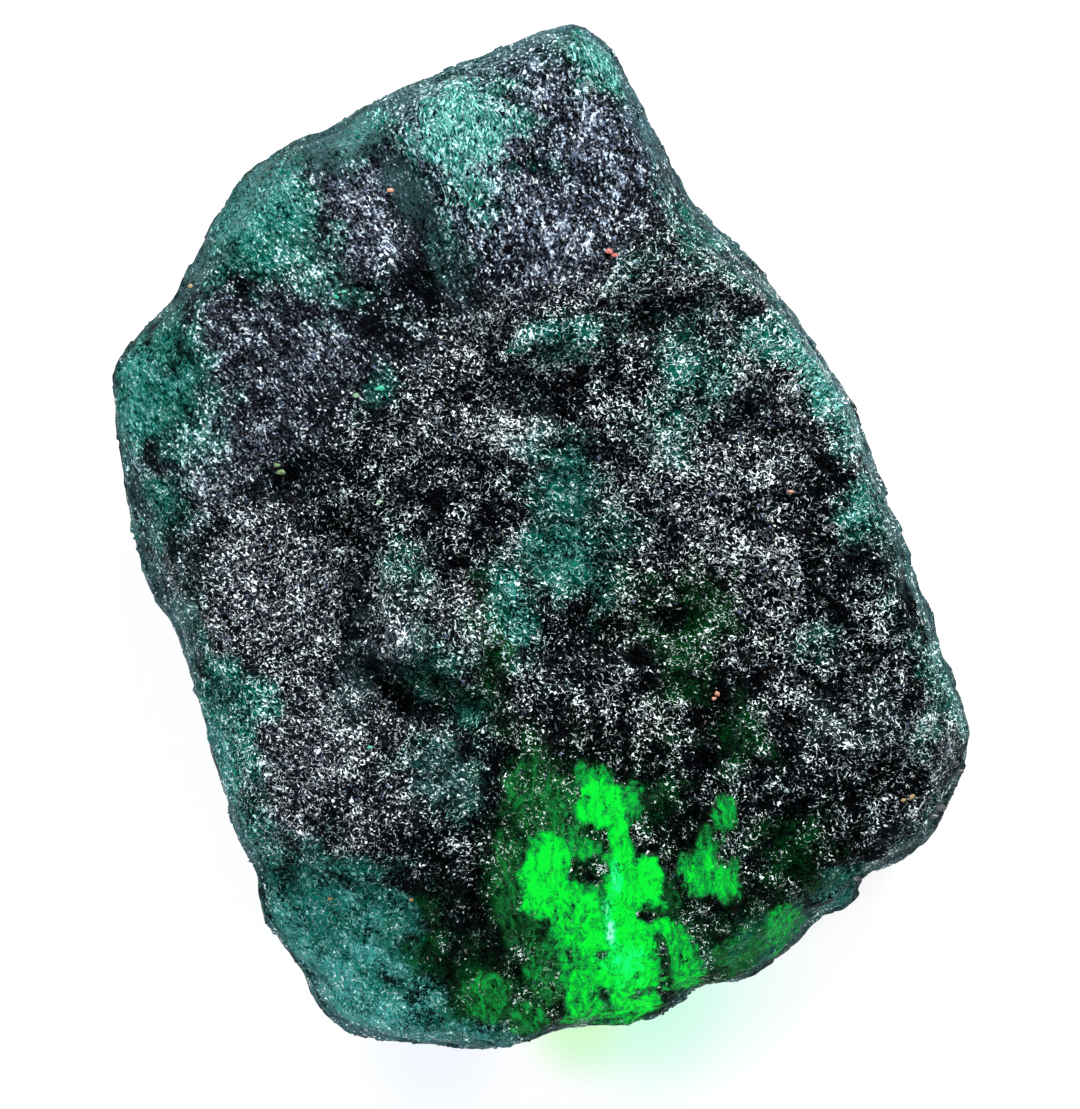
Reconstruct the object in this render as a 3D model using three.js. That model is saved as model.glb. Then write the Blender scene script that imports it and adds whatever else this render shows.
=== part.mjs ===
// Raw emerald crystal: a rough slab of green beryl still wrapped in dark mica schist.
// Millimetres, +Z up. The stone lies on its flattest face, +Y runs along its length, and the origin is
// on that face, under the middle of the stone's box.

import * as THREE from "three";

// --- Driving dimensions -------------------------------------------------------------------------

const PLATEAU_HEIGHT = 20.5; // the broad upper face above the surface that the stone lies on
const PLATEAU_FALL = 0.05; // how much that face drops for each millimetre towards the thin end, -Y
const RIM_HEIGHT = [4.5, 12.5]; // where the stone is widest: its lowest and highest level
const THIN_END_RIM = 0.62; // the rim's level at the thin end, as a share of its level elsewhere
const SHOULDER_WIDTH = [1.6, 5.5]; // narrowest and broadest rounding above the rim
const BELLY_WIDTH = [4.5, 13]; // narrowest and broadest slope below the rim
const BELLY_FLATNESS = [0, 0.9]; // how straight that slope is: 0 is a quarter round, 1 a flat facet
const WANDER_LENGTH = 13; // over this length, such a measure drifts from one limit towards the other
const HEART = [-1, -1]; // the rings of the mesh close in on this point

const SEGMENTS = 160; // points around the outline
const FACE_RINGS = 25; // rings across the upper face
const SHOULDER_RINGS = 4; // rings on the shoulder, the last one on the rim
const BELLY_RINGS = 5; // rings on the belly, the last one on the resting face

// The stone's widest outline, seen from above and walked anticlockwise from its blunt tip.
const OUTLINE = [
  [2.5, 43], [-1.6, 42.1], [-4.6, 40.6], [-10, 38.6], [-15, 36.2], [-18, 34.2], [-19.5, 34.1],
  [-22.3, 32.7], [-24.9, 30.8], [-27.7, 26.4], [-30.7, 20.6], [-31.1, 19.85], [-32.1, 19.2],
  [-34.5, 16.4], [-35.7, 13.75], [-35.5, 7.5], [-34.6, 2.1], [-33, -3.6], [-32.05, -6.1], [-31.25, -6.6],
  [-29, -13.1], [-26.9, -20.2], [-25.3, -25.3], [-23.9, -28.1], [-24, -30.1], [-22.3, -33.5],
  [-19.9, -36.8], [-18.75, -39.6], [-17.4, -40.8], [-14.1, -41.9], [-7.6, -42.7], [-3.4, -42.6],
  [-0.15, -41.7], [1.3, -41], [6.2, -40.6], [9.9, -40], [12.5, -37.9], [16.3, -37], [18.4, -36.3],
  [21.25, -33.8], [22.8, -31.7], [24.4, -31.25], [26.2, -29.9], [26.6, -28.4], [29.3, -27.4],
  [31.1, -26.2], [32.6, -24.7], [34.5, -21.1], [35.7, -17], [34.9, -13.4], [32.4, -6.5], [30.3, -0.6],
  [27.9, 5.7], [26.2, 10.8], [22.4, 16.7], [18.1, 22.7], [15.1, 26], [12.3, 28.9], [11.3, 30.9],
  [8.9, 35.2], [7.4, 38.2], [5, 41.7], [3.5, 42.8],
];

// Broken facets that cut the upper face. Each passes through a point at the plateau's height and then
// falls away in one direction, seen from above, by so much for each millimetre.
const FACETS = [
  { name: "bevel above the left shoulder", through: [-17.5, 31], towards: [-0.6, 0.8], fall: 1.0 },
  { name: "thin end slope", through: [0, -29], towards: [0.05, -1], fall: 0.5 },
  { name: "smooth corner at the thin end", through: [-11, -29], towards: [-0.6, -0.8], fall: 0.5 },
  { name: "lower left flank", through: [-27, -11], towards: [-0.95, -0.3], fall: 1.1 },
  { name: "left corner window", through: [-27, 13], towards: [-1, 0.1], fall: 0.45 },
  { name: "right flank", through: [20.5, 14], towards: [0.88, 0.47], fall: 0.35 },
  { name: "lower right flank", through: [27, -19], towards: [0.85, -0.5], fall: 0.5 },
  { name: "blunt tip", through: [2, 34], towards: [0.1, 1], fall: 0.22 },
];
const FACET_BLEND = 0.8; // how far each facet's edge is worn round

// Ridges stand up and grooves cut down along these runs, seen from above.
const RUNS = [
  { name: "diagonal valley", rise: -1.9, width: 2.6, path: [[-14, 34], [-11, 28], [-9, 22], [-5, 17]] },
  { name: "fracture", rise: -1.3, width: 1.9, path: [[-15.5, 0], [-14.5, -3.5]] },
  { name: "knob hollow", rise: -2, width: 2.1, path: [[-15.9, -1], [-15.6, -8], [-12.5, -12], [-6, -13.5]] },
  { name: "knob", rise: 1.5, width: 2.2, path: [[-12.7, -4.5], [-12.2, -8.5]] },
  { name: "arch", rise: 1.2, width: 1.6, path: [[-2.4, 14.5], [-1, 17.3], [1.5, 18.4], [4, 17.3], [5, 15]] },
  { name: "pocket under the arch", rise: -1.2, width: 1.8, path: [[0.5, 14.6], [2.5, 14.2]] },
  { name: "tip ridge", rise: 0.7, width: 1.6, path: [[2.8, 41], [5.4, 38], [8.2, 33]] },
  { name: "centre cleft", rise: -1.7, width: 1.8, path: [[-4, 12], [-0.5, 11.6], [2, 10]] },
  { name: "upper cleft", rise: -1.4, width: 1.8, path: [[6, 18.5], [10, 18], [14, 19]] },
  { name: "left pit", rise: -1.6, width: 2, path: [[-22, 5.5], [-19.5, 4]] },
  { name: "right cleft", rise: -1.3, width: 1.8, path: [[13, 8.5], [18, 10.5], [21, 7]] },
  { name: "middle trough", rise: -1.4, width: 2.4, path: [[1, -9], [6, -8], [12, -7]] },
  { name: "thin end step", rise: 0.9, width: 2, path: [[-20, -26], [-12, -25], [-6, -23], [0, -18]] },
  { name: "lower cleft", rise: -1.4, width: 2, path: [[10, -20], [13, -23], [12, -32]] },
  { name: "right step", rise: 0.9, width: 1.8, path: [[17, -22], [24, -18], [30, -12]] },
  { name: "left brow", rise: 0.9, width: 2, path: [[-30, 18], [-25, 12], [-26, 6]] },
  { name: "crown swell", rise: 0.9, width: 3.6, path: [[-2, 27], [3, 24]] },
];

// Swells all over the surface: length of one swell, and how far it rises and falls.
const SWELLS = [
  { length: 21, height: 1.2 },
  { length: 10, height: 0.9 },
  { length: 5.2, height: 0.55 },
];

// --- Small maths --------------------------------------------------------------------------------

const clamp01 = (value) => Math.min(1, Math.max(0, value));
const smooth = (value) => value * value * (3 - 2 * value);
const mix = (a, b, share) => a + (b - a) * share;

// A fixed pseudo-random number between -1 and 1 for each whole-numbered corner of a lattice.
function cornerValue(i, j, k) {
  let hash = Math.imul(i, 374761393) ^ Math.imul(j, 668265263) ^ Math.imul(k, 1274126177);
  hash = Math.imul(hash ^ (hash >>> 13), 1103515245);
  hash ^= hash >>> 16;
  return (hash >>> 0) / 2147483648 - 1;
}

// Smooth lattice noise between -1 and 1, one swell for each unit of distance.
function swell(x, y, z) {
  const [i, j, k] = [Math.floor(x), Math.floor(y), Math.floor(z)];
  const [u, v, w] = [smooth(x - i), smooth(y - j), smooth(z - k)];
  const edge = (dj, dk) => mix(cornerValue(i, j + dj, k + dk), cornerValue(i + 1, j + dj, k + dk), u);
  const side = (dk) => mix(edge(0, dk), edge(1, dk), v);
  return mix(side(0), side(1), w);
}

// The swells of every length together, at a place on the surface.
function roughness(x, y, z) {
  let total = 0;
  for (const { length, height } of SWELLS) {
    total += height * swell(x / length, y / length, z / length);
  }
  return total;
}

// Distance from a place to the stretch between two points.
function distanceToStretch(x, y, [ax, ay], [bx, by]) {
  const [dx, dy] = [bx - ax, by - ay];
  const along = clamp01(((x - ax) * dx + (y - ay) * dy) / (dx * dx + dy * dy));
  return Math.hypot(x - ax - along * dx, y - ay - along * dy);
}

// Distance from a place to the nearest stretch of a path.
function distanceToPath(x, y, path) {
  let nearest = Infinity;
  for (let n = 1; n < path.length; n += 1) {
    nearest = Math.min(nearest, distanceToStretch(x, y, path[n - 1], path[n]));
  }
  return nearest;
}

// The lower of two heights, with the corner between them worn round.
function wornMinimum(a, b) {
  const overlap = Math.max(0, FACET_BLEND - Math.abs(a - b)) / FACET_BLEND;
  return Math.min(a, b) - overlap * overlap * FACET_BLEND * 0.25;
}

// --- The stone's form ---------------------------------------------------------------------------

const outlineCurve = new THREE.CatmullRomCurve3(
  OUTLINE.map(([x, y]) => new THREE.Vector3(x, y, 0)), true, "centripetal",
);
const rim = outlineCurve.getSpacedPoints(SEGMENTS).slice(0, SEGMENTS).map(({ x, y }) => [x, y]);
const closedRim = [...rim, rim[0]];

// A measure that wanders between its two limits from place to place, and often reaches them.
function wandering([low, high], x, y, seed) {
  const sway = swell(x / WANDER_LENGTH, y / WANDER_LENGTH, seed);
  return mix(low, high, smooth(clamp01(0.5 + sway)));
}

// Height of the widest line above the resting face.
function rimHeight(x, y) {
  const thinEnd = clamp01((-18 - y) / 20);
  return wandering(RIM_HEIGHT, x, y, 3.5) * mix(1, THIN_END_RIM, smooth(thinEnd));
}

// Height of the broken upper face, before it rolls over at the rim.
function faceHeight(x, y) {
  const plateau = PLATEAU_HEIGHT + PLATEAU_FALL * Math.min(0, y - 10);
  let height = plateau;
  for (const { through, towards, fall } of FACETS) {
    const beyond = (x - through[0]) * towards[0] + (y - through[1]) * towards[1];
    height = wornMinimum(height, plateau - fall * beyond);
  }
  for (const { rise, width, path } of RUNS) {
    const reach = distanceToPath(x, y, path) / width;
    height += rise * Math.exp(-reach * reach);
  }
  return height + roughness(x, y, 0);
}

// A quarter round: how high the skin stands, 0 at the rim and 1 where the rounding ends.
const roundedLift = (inwards, width) => Math.sqrt(1 - (1 - clamp01(inwards / width)) ** 2);

// Height of the upper surface, shoulder included.
function upperSurface(x, y) {
  const inwards = distanceToPath(x, y, closedRim);
  const lift = roundedLift(inwards, wandering(SHOULDER_WIDTH, x, y, 7.5));
  return mix(rimHeight(x, y), faceHeight(x, y), lift);
}

// A place on the line from a rim point to the heart, so far in from the rim.
function inFromRim([x, y], inset) {
  const [dx, dy] = [HEART[0] - x, HEART[1] - y];
  const share = inset / Math.hypot(dx, dy);
  return [x + dx * share, y + dy * share];
}

// Rings nearer the heart have fewer points, so that the mesh stays even.
function pointsInRing(share) {
  if (share > 0.5) {
    return rim;
  }
  const step = share > 0.25 ? 2 : 4;
  return rim.filter((point, n) => n % step === 0);
}

// One ring on the upper face: 0 is nearest the heart, and the last one is where the shoulder starts.
function faceRing(n) {
  const share = (n + 1) / FACE_RINGS;
  return pointsInRing(share).map((point) => {
    const [sx, sy] = inFromRim(point, wandering(SHOULDER_WIDTH, ...point, 7.5));
    const [x, y] = [mix(HEART[0], sx, share), mix(HEART[1], sy, share)];
    return [x, y, upperSurface(x, y)];
  });
}

// One ring on the shoulder, from its start down to the rim.
function shoulderRing(n) {
  const angle = (Math.PI / 2) * (n / SHOULDER_RINGS);
  return rim.map((point) => {
    const width = wandering(SHOULDER_WIDTH, ...point, 7.5);
    const [x, y] = inFromRim(point, width * (1 - Math.sin(angle)));
    return [x, y, upperSurface(x, y)];
  });
}

// One ring on the belly, from below the rim to the resting face. Its ledges step in and out.
function bellyRing(n) {
  const share = n / BELLY_RINGS;
  const angle = (Math.PI / 2) * share;
  return rim.map((point) => {
    const flatness = wandering(BELLY_FLATNESS, ...point, 15.5);
    const width = wandering(BELLY_WIDTH, ...point, 11.5);
    const ledge = 0.9 * Math.abs(roughness(...point, n * 6));
    const inset = width * mix(1 - Math.cos(angle), share, flatness) + ledge;
    const drop = mix(Math.sin(angle), share, flatness);
    return [...inFromRim(point, inset), rimHeight(...point) * (1 - drop)];
  });
}

// --- The skin -----------------------------------------------------------------------------------

const distance = (a, b) => Math.hypot(a[0] - b[0], a[1] - b[1], a[2] - b[2]);

// Joins two rings with the same number of points by triangles, split along their shorter diagonals.
function joinEqualRings(inner, outer, innerStart, outerStart) {
  const faces = [];
  for (let n = 0; n < inner.length; n += 1) {
    const next = (n + 1) % inner.length;
    const [a, b] = [innerStart + n, innerStart + next];
    const [c, d] = [outerStart + n, outerStart + next];
    if (distance(inner[n], outer[next]) < distance(inner[next], outer[n])) {
      faces.push(a, c, d, a, d, b);
    } else {
      faces.push(a, c, b, b, c, d);
    }
  }
  return faces;
}

// Joins a ring to one with twice as many points.
function joinDoubledRing(inner, innerStart, outerStart) {
  const faces = [];
  const outerCount = inner.length * 2;
  for (let n = 0; n < inner.length; n += 1) {
    const [a, b] = [innerStart + n, innerStart + ((n + 1) % inner.length)];
    const [c, d, e] = [0, 1, 2].map((step) => outerStart + ((2 * n + step) % outerCount));
    faces.push(a, c, d, a, d, b, b, d, e);
  }
  return faces;
}

// Joins one middle point to the ring around it.
function joinFan(count, start, middle, facesUp) {
  const faces = [];
  for (let n = 0; n < count; n += 1) {
    const [a, b] = [start + n, start + ((n + 1) % count)];
    faces.push(middle, ...(facesUp ? [a, b] : [b, a]));
  }
  return faces;
}

// Joins rings of points into one closed skin, with a point at the top and one underneath.
function closedSkin(rings, top, bottom) {
  const starts = [];
  let count = 0;
  for (const ring of rings) {
    starts.push(count);
    count += ring.length;
  }
  const faces = joinFan(rings[0].length, 0, count, true);
  for (let r = 1; r < rings.length; r += 1) {
    const [inner, outer] = [rings[r - 1], rings[r]];
    const joined = inner.length === outer.length
      ? joinEqualRings(inner, outer, starts[r - 1], starts[r])
      : joinDoubledRing(inner, starts[r - 1], starts[r]);
    faces.push(...joined);
  }
  const last = rings.length - 1;
  faces.push(...joinFan(rings[last].length, starts[last], count + 1, false));
  const skin = new THREE.BufferGeometry();
  skin.setAttribute("position", new THREE.Float32BufferAttribute([...rings.flat(2), ...top, ...bottom], 3));
  skin.setIndex(faces);
  return skin;
}

function stoneGeometry() {
  const rings = [];
  for (let n = 0; n < FACE_RINGS; n += 1) {
    rings.push(faceRing(n));
  }
  for (let n = 1; n <= SHOULDER_RINGS; n += 1) {
    rings.push(shoulderRing(n));
  }
  for (let n = 1; n <= BELLY_RINGS; n += 1) {
    rings.push(bellyRing(n));
  }
  const top = [...HEART, upperSurface(...HEART)];
  const skin = closedSkin(rings, top, [...HEART, 0]);
  skin.computeBoundingBox();
  const { min, max } = skin.boundingBox;
  skin.translate(-(min.x + max.x) / 2, -(min.y + max.y) / 2, 0);
  skin.computeVertexNormals();
  return skin;
}

// --- The part -----------------------------------------------------------------------------------

const emeraldInSchist = new THREE.MeshStandardMaterial({ color: 0x2f4a47, roughness: 0.55, metalness: 0 });

const stone = new THREE.Mesh(stoneGeometry(), emeraldInSchist);
stone.name = "raw_emerald";

const part = new THREE.Group();
part.add(stone);

export default part;
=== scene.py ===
"""Builds the looks of a raw emerald crystal: a slab of green beryl in black mica schist, lying on a
pale studio floor, with the green light of a small torch in its thin end."""

import itertools
import math

import bmesh
import bpy
import numpy as np
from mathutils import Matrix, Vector


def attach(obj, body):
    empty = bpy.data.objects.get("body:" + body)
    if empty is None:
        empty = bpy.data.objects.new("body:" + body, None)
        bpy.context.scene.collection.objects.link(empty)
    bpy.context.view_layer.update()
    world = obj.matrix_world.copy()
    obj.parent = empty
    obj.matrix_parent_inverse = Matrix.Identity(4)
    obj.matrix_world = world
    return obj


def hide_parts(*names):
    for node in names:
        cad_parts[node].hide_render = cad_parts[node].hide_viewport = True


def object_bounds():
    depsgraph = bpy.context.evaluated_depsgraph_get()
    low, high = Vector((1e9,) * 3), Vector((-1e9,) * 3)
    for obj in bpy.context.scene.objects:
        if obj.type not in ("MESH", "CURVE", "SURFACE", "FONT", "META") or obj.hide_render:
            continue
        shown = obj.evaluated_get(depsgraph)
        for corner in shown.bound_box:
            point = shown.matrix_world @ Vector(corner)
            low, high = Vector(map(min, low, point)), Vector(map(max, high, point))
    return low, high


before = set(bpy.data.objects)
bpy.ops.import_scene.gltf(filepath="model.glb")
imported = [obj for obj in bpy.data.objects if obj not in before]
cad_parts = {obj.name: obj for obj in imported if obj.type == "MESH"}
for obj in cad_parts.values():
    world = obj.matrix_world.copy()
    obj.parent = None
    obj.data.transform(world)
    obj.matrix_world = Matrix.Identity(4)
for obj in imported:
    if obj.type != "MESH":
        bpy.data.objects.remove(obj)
CAD_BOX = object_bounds()

bl_info = {
    "name": "Raw Emerald Crystal",
    "version": (1, 0, 0),
    "blender": (4, 5, 0),
    "location": "3D View > Sidebar > Raw Emerald",
    "description": "Rough emerald in mica schist, with its flakes, grains, studio and camera",
    "category": "Add Mesh",
}

STONE_NODE = "raw_emerald"
MM = 0.001  # one millimetre in scene units
SKIN_TRIANGLES = 196000
LOW, HIGH = (np.array(corner) / MM for corner in CAD_BOX)
LOW_CLEAR = LOW + (0, 0, 0.02)  # the lowest that any visible piece may reach

# --- Where the stone shows what -----------------------------------------------------------------
# Places are millimetres from the middle of the stone, seen from above, +Y towards the blunt tip.
# Each spot is (x, y, half length, half width, turn in degrees, strength).

BERYL_WINDOWS = (
    (-23.0, 27.0, 6.4, 4.4, -48, 0.9),
    (-19.6, 22.6, 4.2, 2.4, -52, 0.6),
    (-27.0, 23.6, 3.0, 2.0, 50, 0.5),
    (-6.4, 33.0, 4.6, 4.2, 30, 0.95),
    (-5.6, 28.6, 3.4, 2.6, 80, 0.6),
    (-8.0, 24.2, 3.4, 1.8, -62, 0.5),
    (-14.6, 33.4, 3.4, 2.2, 30, 0.6),
    (4.4, 39.8, 3.6, 1.7, -52, 0.95),
    (-31.8, 13.0, 4.4, 6.0, 0, 0.75),
    (-29.4, 8.6, 3.6, 3.4, 0, 0.55),
    (-8.2, -9.8, 3.2, 3.4, 0, 0.5),
    (-31.0, 3.0, 2.0, 3.0, 0, 0.5),
    (-26.2, -15.2, 2.4, 5.0, 16, 0.95),
    (-23.4, -13.4, 2.6, 1.6, -32, 0.9),
    (-24.4, -22.6, 1.8, 3.2, 20, 0.6),
    (-16.4, -32.6, 7.6, 5.6, -36, 1.0),
    (-21.6, -31.4, 3.4, 3.0, 0, 0.95),
    (-13.6, -38.2, 6.6, 3.2, -26, 0.9),
    (-7.4, -41.2, 5.2, 1.6, -5, 0.7),
    (1.6, 16.4, 4.4, 2.0, 10, 0.55),
    (1.8, 4.4, 3.4, 4.2, 10, 0.65),
    (2.2, -1.6, 4.2, 3.6, -30, 0.7),
    (6.2, 0.6, 3.4, 2.4, 0, 0.45),
    (-2.6, -6.0, 2.0, 3.8, 16, 0.8),
    (-7.8, -18.6, 3.6, 3.2, -20, 0.45),
    (-6.6, -21.6, 2.4, 2.0, 0, 0.4),
    (23.0, 12.6, 2.2, 5.6, 24, 0.8),
    (13.0, 14.4, 3.4, 3.6, 10, 0.6),
    (16.4, 16.6, 2.6, 1.6, 0, 0.4),
    (10.4, 8.6, 2.8, 3.4, 0, 0.4),
    (8.6, 22.6, 3.4, 2.2, 20, 0.4),
    (13.0, 24.4, 3.6, 2.2, -50, 0.35),
    (26.4, 2.2, 2.8, 1.8, 60, 0.75),
    (33.2, -11.8, 1.8, 3.6, 15, 0.75),
    (22.6, -8.0, 2.6, 2.0, 0, 0.3),
    (24.8, -29.2, 2.6, 2.0, 20, 0.9),
    (18.8, -33.2, 4.2, 2.3, 32, 0.9),
    (-11.2, -2.6, 2.2, 2.8, 30, 0.45),
    (-5.7, -14.3, 1.5, 1.3, 0, 0.9),
    (-13.2, 12.6, 1.6, 1.5, 0, 0.6),
    (-16.4, 19.6, 1.5, 1.2, 0, 0.4),
)

PALE_VEILS = (
    (-8.2, 34.6, 3.2, 2.4, 60, 0.9),
    (-5.0, 31.8, 3.0, 2.4, 70, 0.8),
    (-6.4, 28.0, 2.4, 1.6, 70, 0.5),
    (-22.4, 28.6, 4.0, 2.6, 40, 0.55),
    (-26.0, 26.2, 2.6, 1.6, 50, 0.45),
    (-15.0, 33.6, 2.8, 1.4, 30, 0.55),
    (-33.4, 14.6, 2.4, 1.6, 60, 0.45),
    (-30.4, 12.4, 1.4, 1.0, 20, 0.4),
    (4.6, 39.8, 2.8, 1.2, -52, 0.7),
    (-26.8, -17.2, 1.4, 3.6, 15, 0.85),
    (-25.8, -21.0, 1.1, 2.0, 15, 0.7),
    (-17.0, -35.8, 5.4, 1.3, -26, 0.65),
    (-16.4, -33.0, 7.4, 5.8, -36, 0.3),
    (-20.6, -32.0, 4.6, 0.8, -58, 0.8),
    (-12.8, -35.4, 6.4, 0.8, -32, 0.8),
    (-15.0, -30.0, 4.0, 0.7, -40, 0.6),
    (-13.4, -39.8, 6.4, 1.7, -18, 1.0),
    (-6.6, -41.8, 5.8, 1.5, -4, 1.0),
    (-20.6, -33.0, 2.0, 1.0, -40, 0.4),
    (22.8, 13.6, 1.6, 4.4, 24, 0.85),
    (26.0, 8.0, 1.0, 3.4, 17, 0.6),
    (1.6, 17.4, 3.4, 1.0, 5, 0.5),
    (-2.0, 8.6, 1.6, 2.0, 0, 0.45),
    (-2.6, -5.6, 1.4, 2.8, 15, 0.65),
    (1.4, -1.6, 1.6, 2.0, 0, 0.35),
    (26.6, 2.6, 2.0, 1.0, 60, 0.55),
    (24.6, -29.6, 1.6, 1.0, 20, 0.4),
    (-9.0, -41.4, 4.0, 1.4, -6, 1.0),
    (-34.0, 9.0, 1.4, 4.0, 0, 0.5),
)

# Grey-green cloudy beryl, smooth, mostly as a worn band along the edges.
SMOKY_BANDS = (
    (-29.4, 21.6, 4.0, 2.2, 50, 0.85),
    (-23.6, 28.8, 4.8, 2.2, 47, 0.7),
    (-17.4, 32.6, 5.0, 3.2, 25, 0.95),
    (-9.4, 36.8, 6.2, 2.6, 24, 1.0),
    (-1.4, 40.2, 5.4, 2.2, 20, 0.95),
    (-11.4, 28.8, 4.6, 1.6, -62, 0.9),
    (-7.6, 22.0, 4.6, 1.4, -60, 0.6),
    (8.6, 35.0, 5.4, 1.9, -60, 0.85),
    (12.4, 30.2, 3.4, 1.6, -50, 0.75),
    (17.4, 25.0, 5.4, 1.4, -46, 0.55),
    (24.4, 11.0, 1.6, 8.0, 17, 0.6),
    (28.6, 1.0, 1.4, 6.4, 14, 0.6),
    (-33.8, 2.4, 1.6, 6.8, 10, 0.9),
    (-31.2, -6.0, 1.4, 4.6, 20, 0.7),
    (-11.6, -7.0, 2.4, 3.8, 0, 0.45),
    (-1.0, 8.6, 3.0, 3.2, 0, 0.35),
    (-19.2, -38.4, 4.8, 1.5, -55, 0.8),
    (-9.0, -42.0, 6.4, 1.4, -4, 0.8),
    (33.6, -18.0, 2.2, 6.0, 5, 0.55),
    (26.4, -15.4, 6.4, 3.0, 0, 0.4),
    (-8.2, -19.6, 3.2, 3.0, 0, 0.55),
    (-15.4, -12.0, 1.8, 5.0, -10, 0.55),
    (-29.0, -1.6, 2.6, 4.0, 0, 0.4),
    (30.6, -24.4, 4.6, 2.4, 32, 0.45),
    (19.0, 5.0, 3.0, 6.0, 0, 0.2),
    (-22.4, -25.4, 4.0, 2.0, 0, 0.4),
)

# Lilac-grey mica, where the painted glints lie thicker, so that the face silvers in patches.
MICA_HAZES = (
    (0.0, 33.0, 20.0, 12.0, 0, 0.6),
    (-6.0, 33.0, 6.0, 6.0, 0, 0.8),
    (-15.0, 26.0, 7.0, 6.0, -40, 0.8),
    (2.0, 24.0, 8.0, 5.6, 0, 0.8),
    (4.0, 34.0, 4.4, 4.4, 0, 0.8),
    (-18.5, 14.5, 8.0, 6.4, 0, 0.7),
    (-25.5, 6.0, 6.6, 6.0, 0, 0.8),
    (-22.0, -4.0, 9.0, 4.6, 0, 0.75),
    (-12.0, -7.0, 2.8, 4.6, 0, 0.8),
    (-6.8, -7.5, 3.4, 3.6, 0, 0.85),
    (-18.6, -17.4, 7.2, 6.8, 0, 0.75),
    (-22.0, -23.4, 4.4, 4.0, 0, 0.75),
    (-8.0, 8.0, 7.0, 8.0, 0, 0.45),
    (-2.4, 8.8, 2.4, 3.4, 30, 0.8),
    (14.0, 20.0, 8.0, 8.0, 0, 0.5),
    (19.0, 8.6, 6.0, 4.4, 0, 0.7),
    (18.5, -2.5, 5.4, 6.4, 0, 0.75),
    (10.0, 4.0, 6.0, 5.0, 0, 0.55),
    (26.5, 3.0, 3.0, 6.0, 20, 0.5),
    (10.0, -1.0, 4.0, 3.5, 0, 0.4),
    (26.0, -14.5, 7.0, 4.0, 0, 0.55),
    (31.5, -16.0, 3.5, 6.0, 0, 0.5),
    (30.5, -22.5, 4.5, 3.0, 30, 0.4),
    (5.0, -13.0, 8.0, 4.0, 0, 0.4),
    (20.0, -17.0, 6.0, 4.0, 0, 0.35),
    (-24.0, 16.0, 5.0, 4.0, 0, 0.6),
    (-5.0, 18.0, 5.0, 4.0, 0, 0.6),
    (23.0, 13.0, 3.0, 7.0, 24, 0.7),
)

# Smooth clear facets, with few flakes.
CALM_FACETS = (
    (-16.0, -33.6, 8.6, 6.6, -36, 1.0),
    (-8.0, -40.6, 6.6, 2.4, -6, 0.9),
    (-31.8, 13.0, 3.6, 4.6, 0, 0.7),
    (-24.0, 27.6, 5.0, 3.4, -48, 0.6),
    (-16.6, 33.0, 4.0, 2.4, 25, 0.8),
    (-11.4, 28.8, 4.4, 1.6, -62, 0.7),
    (1.4, -1.4, 2.6, 2.6, 0, 0.6),
    (3.0, 5.0, 2.4, 3.0, 0, 0.5),
    (24.6, -29.4, 2.4, 2.0, 20, 0.8),
    (18.8, -33.4, 4.0, 2.2, 32, 0.8),
)

# Black schist with hardly a glint on it.
BLACK_PATCHES = (
    (-12.4, 20.0, 3.8, 2.8, 20, 0.8),
    (-13.4, 13.6, 1.6, 3.0, 0, 0.4),
    (-1.0, 11.8, 3.2, 1.6, 0, 0.95),
    (10.6, 18.0, 4.8, 1.6, 0, 0.8),
    (-20.5, 4.6, 3.4, 1.9, 0, 0.95),
    (-13.2, 4.8, 1.6, 3.6, 0, 0.5),
    (-15.4, -4.6, 1.4, 5.0, 5, 0.85),
    (-10.4, -12.6, 5.6, 2.0, -20, 1.0),
    (-3.0, -32.0, 7.4, 6.0, 0, 0.8),
    (-8.6, -27.0, 4.2, 4.2, 0, 0.7),
    (10.5, -20.0, 5.4, 3.4, 0, 0.9),
    (20.0, -22.6, 7.6, 4.4, 0, 0.8),
    (17.5, -30.0, 5.0, 2.8, 20, 0.85),
    (10.6, -31.5, 2.6, 2.8, 0, 0.8),
    (5.0, -9.4, 7.0, 2.6, 0, 0.8),
    (25.0, -3.4, 3.8, 4.2, 0, 0.8),
    (16.0, -14.0, 3.0, 5.0, 0, 0.4),
    (-23.5, -28.4, 4.4, 1.3, 5, 0.8),
    (-8.0, 3.6, 5.0, 4.0, 0, 0.4),
    (0.0, -15.0, 3.0, 3.0, 0, 0.4),
    (16.6, 9.4, 2.6, 2.0, 0, 0.5),
    (22.4, 5.4, 2.2, 2.0, 0, 0.5),
    (14.0, -33.4, 3.0, 2.2, 30, 0.8),
    (29.6, -6.4, 2.0, 3.4, 10, 0.6),
    (-29.0, -1.0, 1.6, 2.4, 0, 0.5),
    (1.0, 30.2, 4.4, 0.9, -8, 0.5),
    (13.0, -26.4, 3.4, 3.0, 0, 0.8),
    (8.0, -37.0, 3.4, 2.0, 0, 0.6),
    (-3.6, -40.0, 3.6, 1.8, 0, 0.5),
    (1.5, -11.6, 3.6, 3.0, 0, 0.8),
    (24.0, -12.0, 3.6, 3.0, 0, 0.6),
    (23.0, -18.0, 4.0, 2.4, 20, 0.5),
    (-13.5, 11.0, 3.0, 2.6, 0, 0.6),
    (13.6, -37.0, 5.0, 1.8, 32, 0.6),
    (22.0, -15.0, 5.0, 4.0, 0, 0.35),
    (14.0, -20.0, 4.0, 4.0, 0, 0.4),
)

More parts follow.
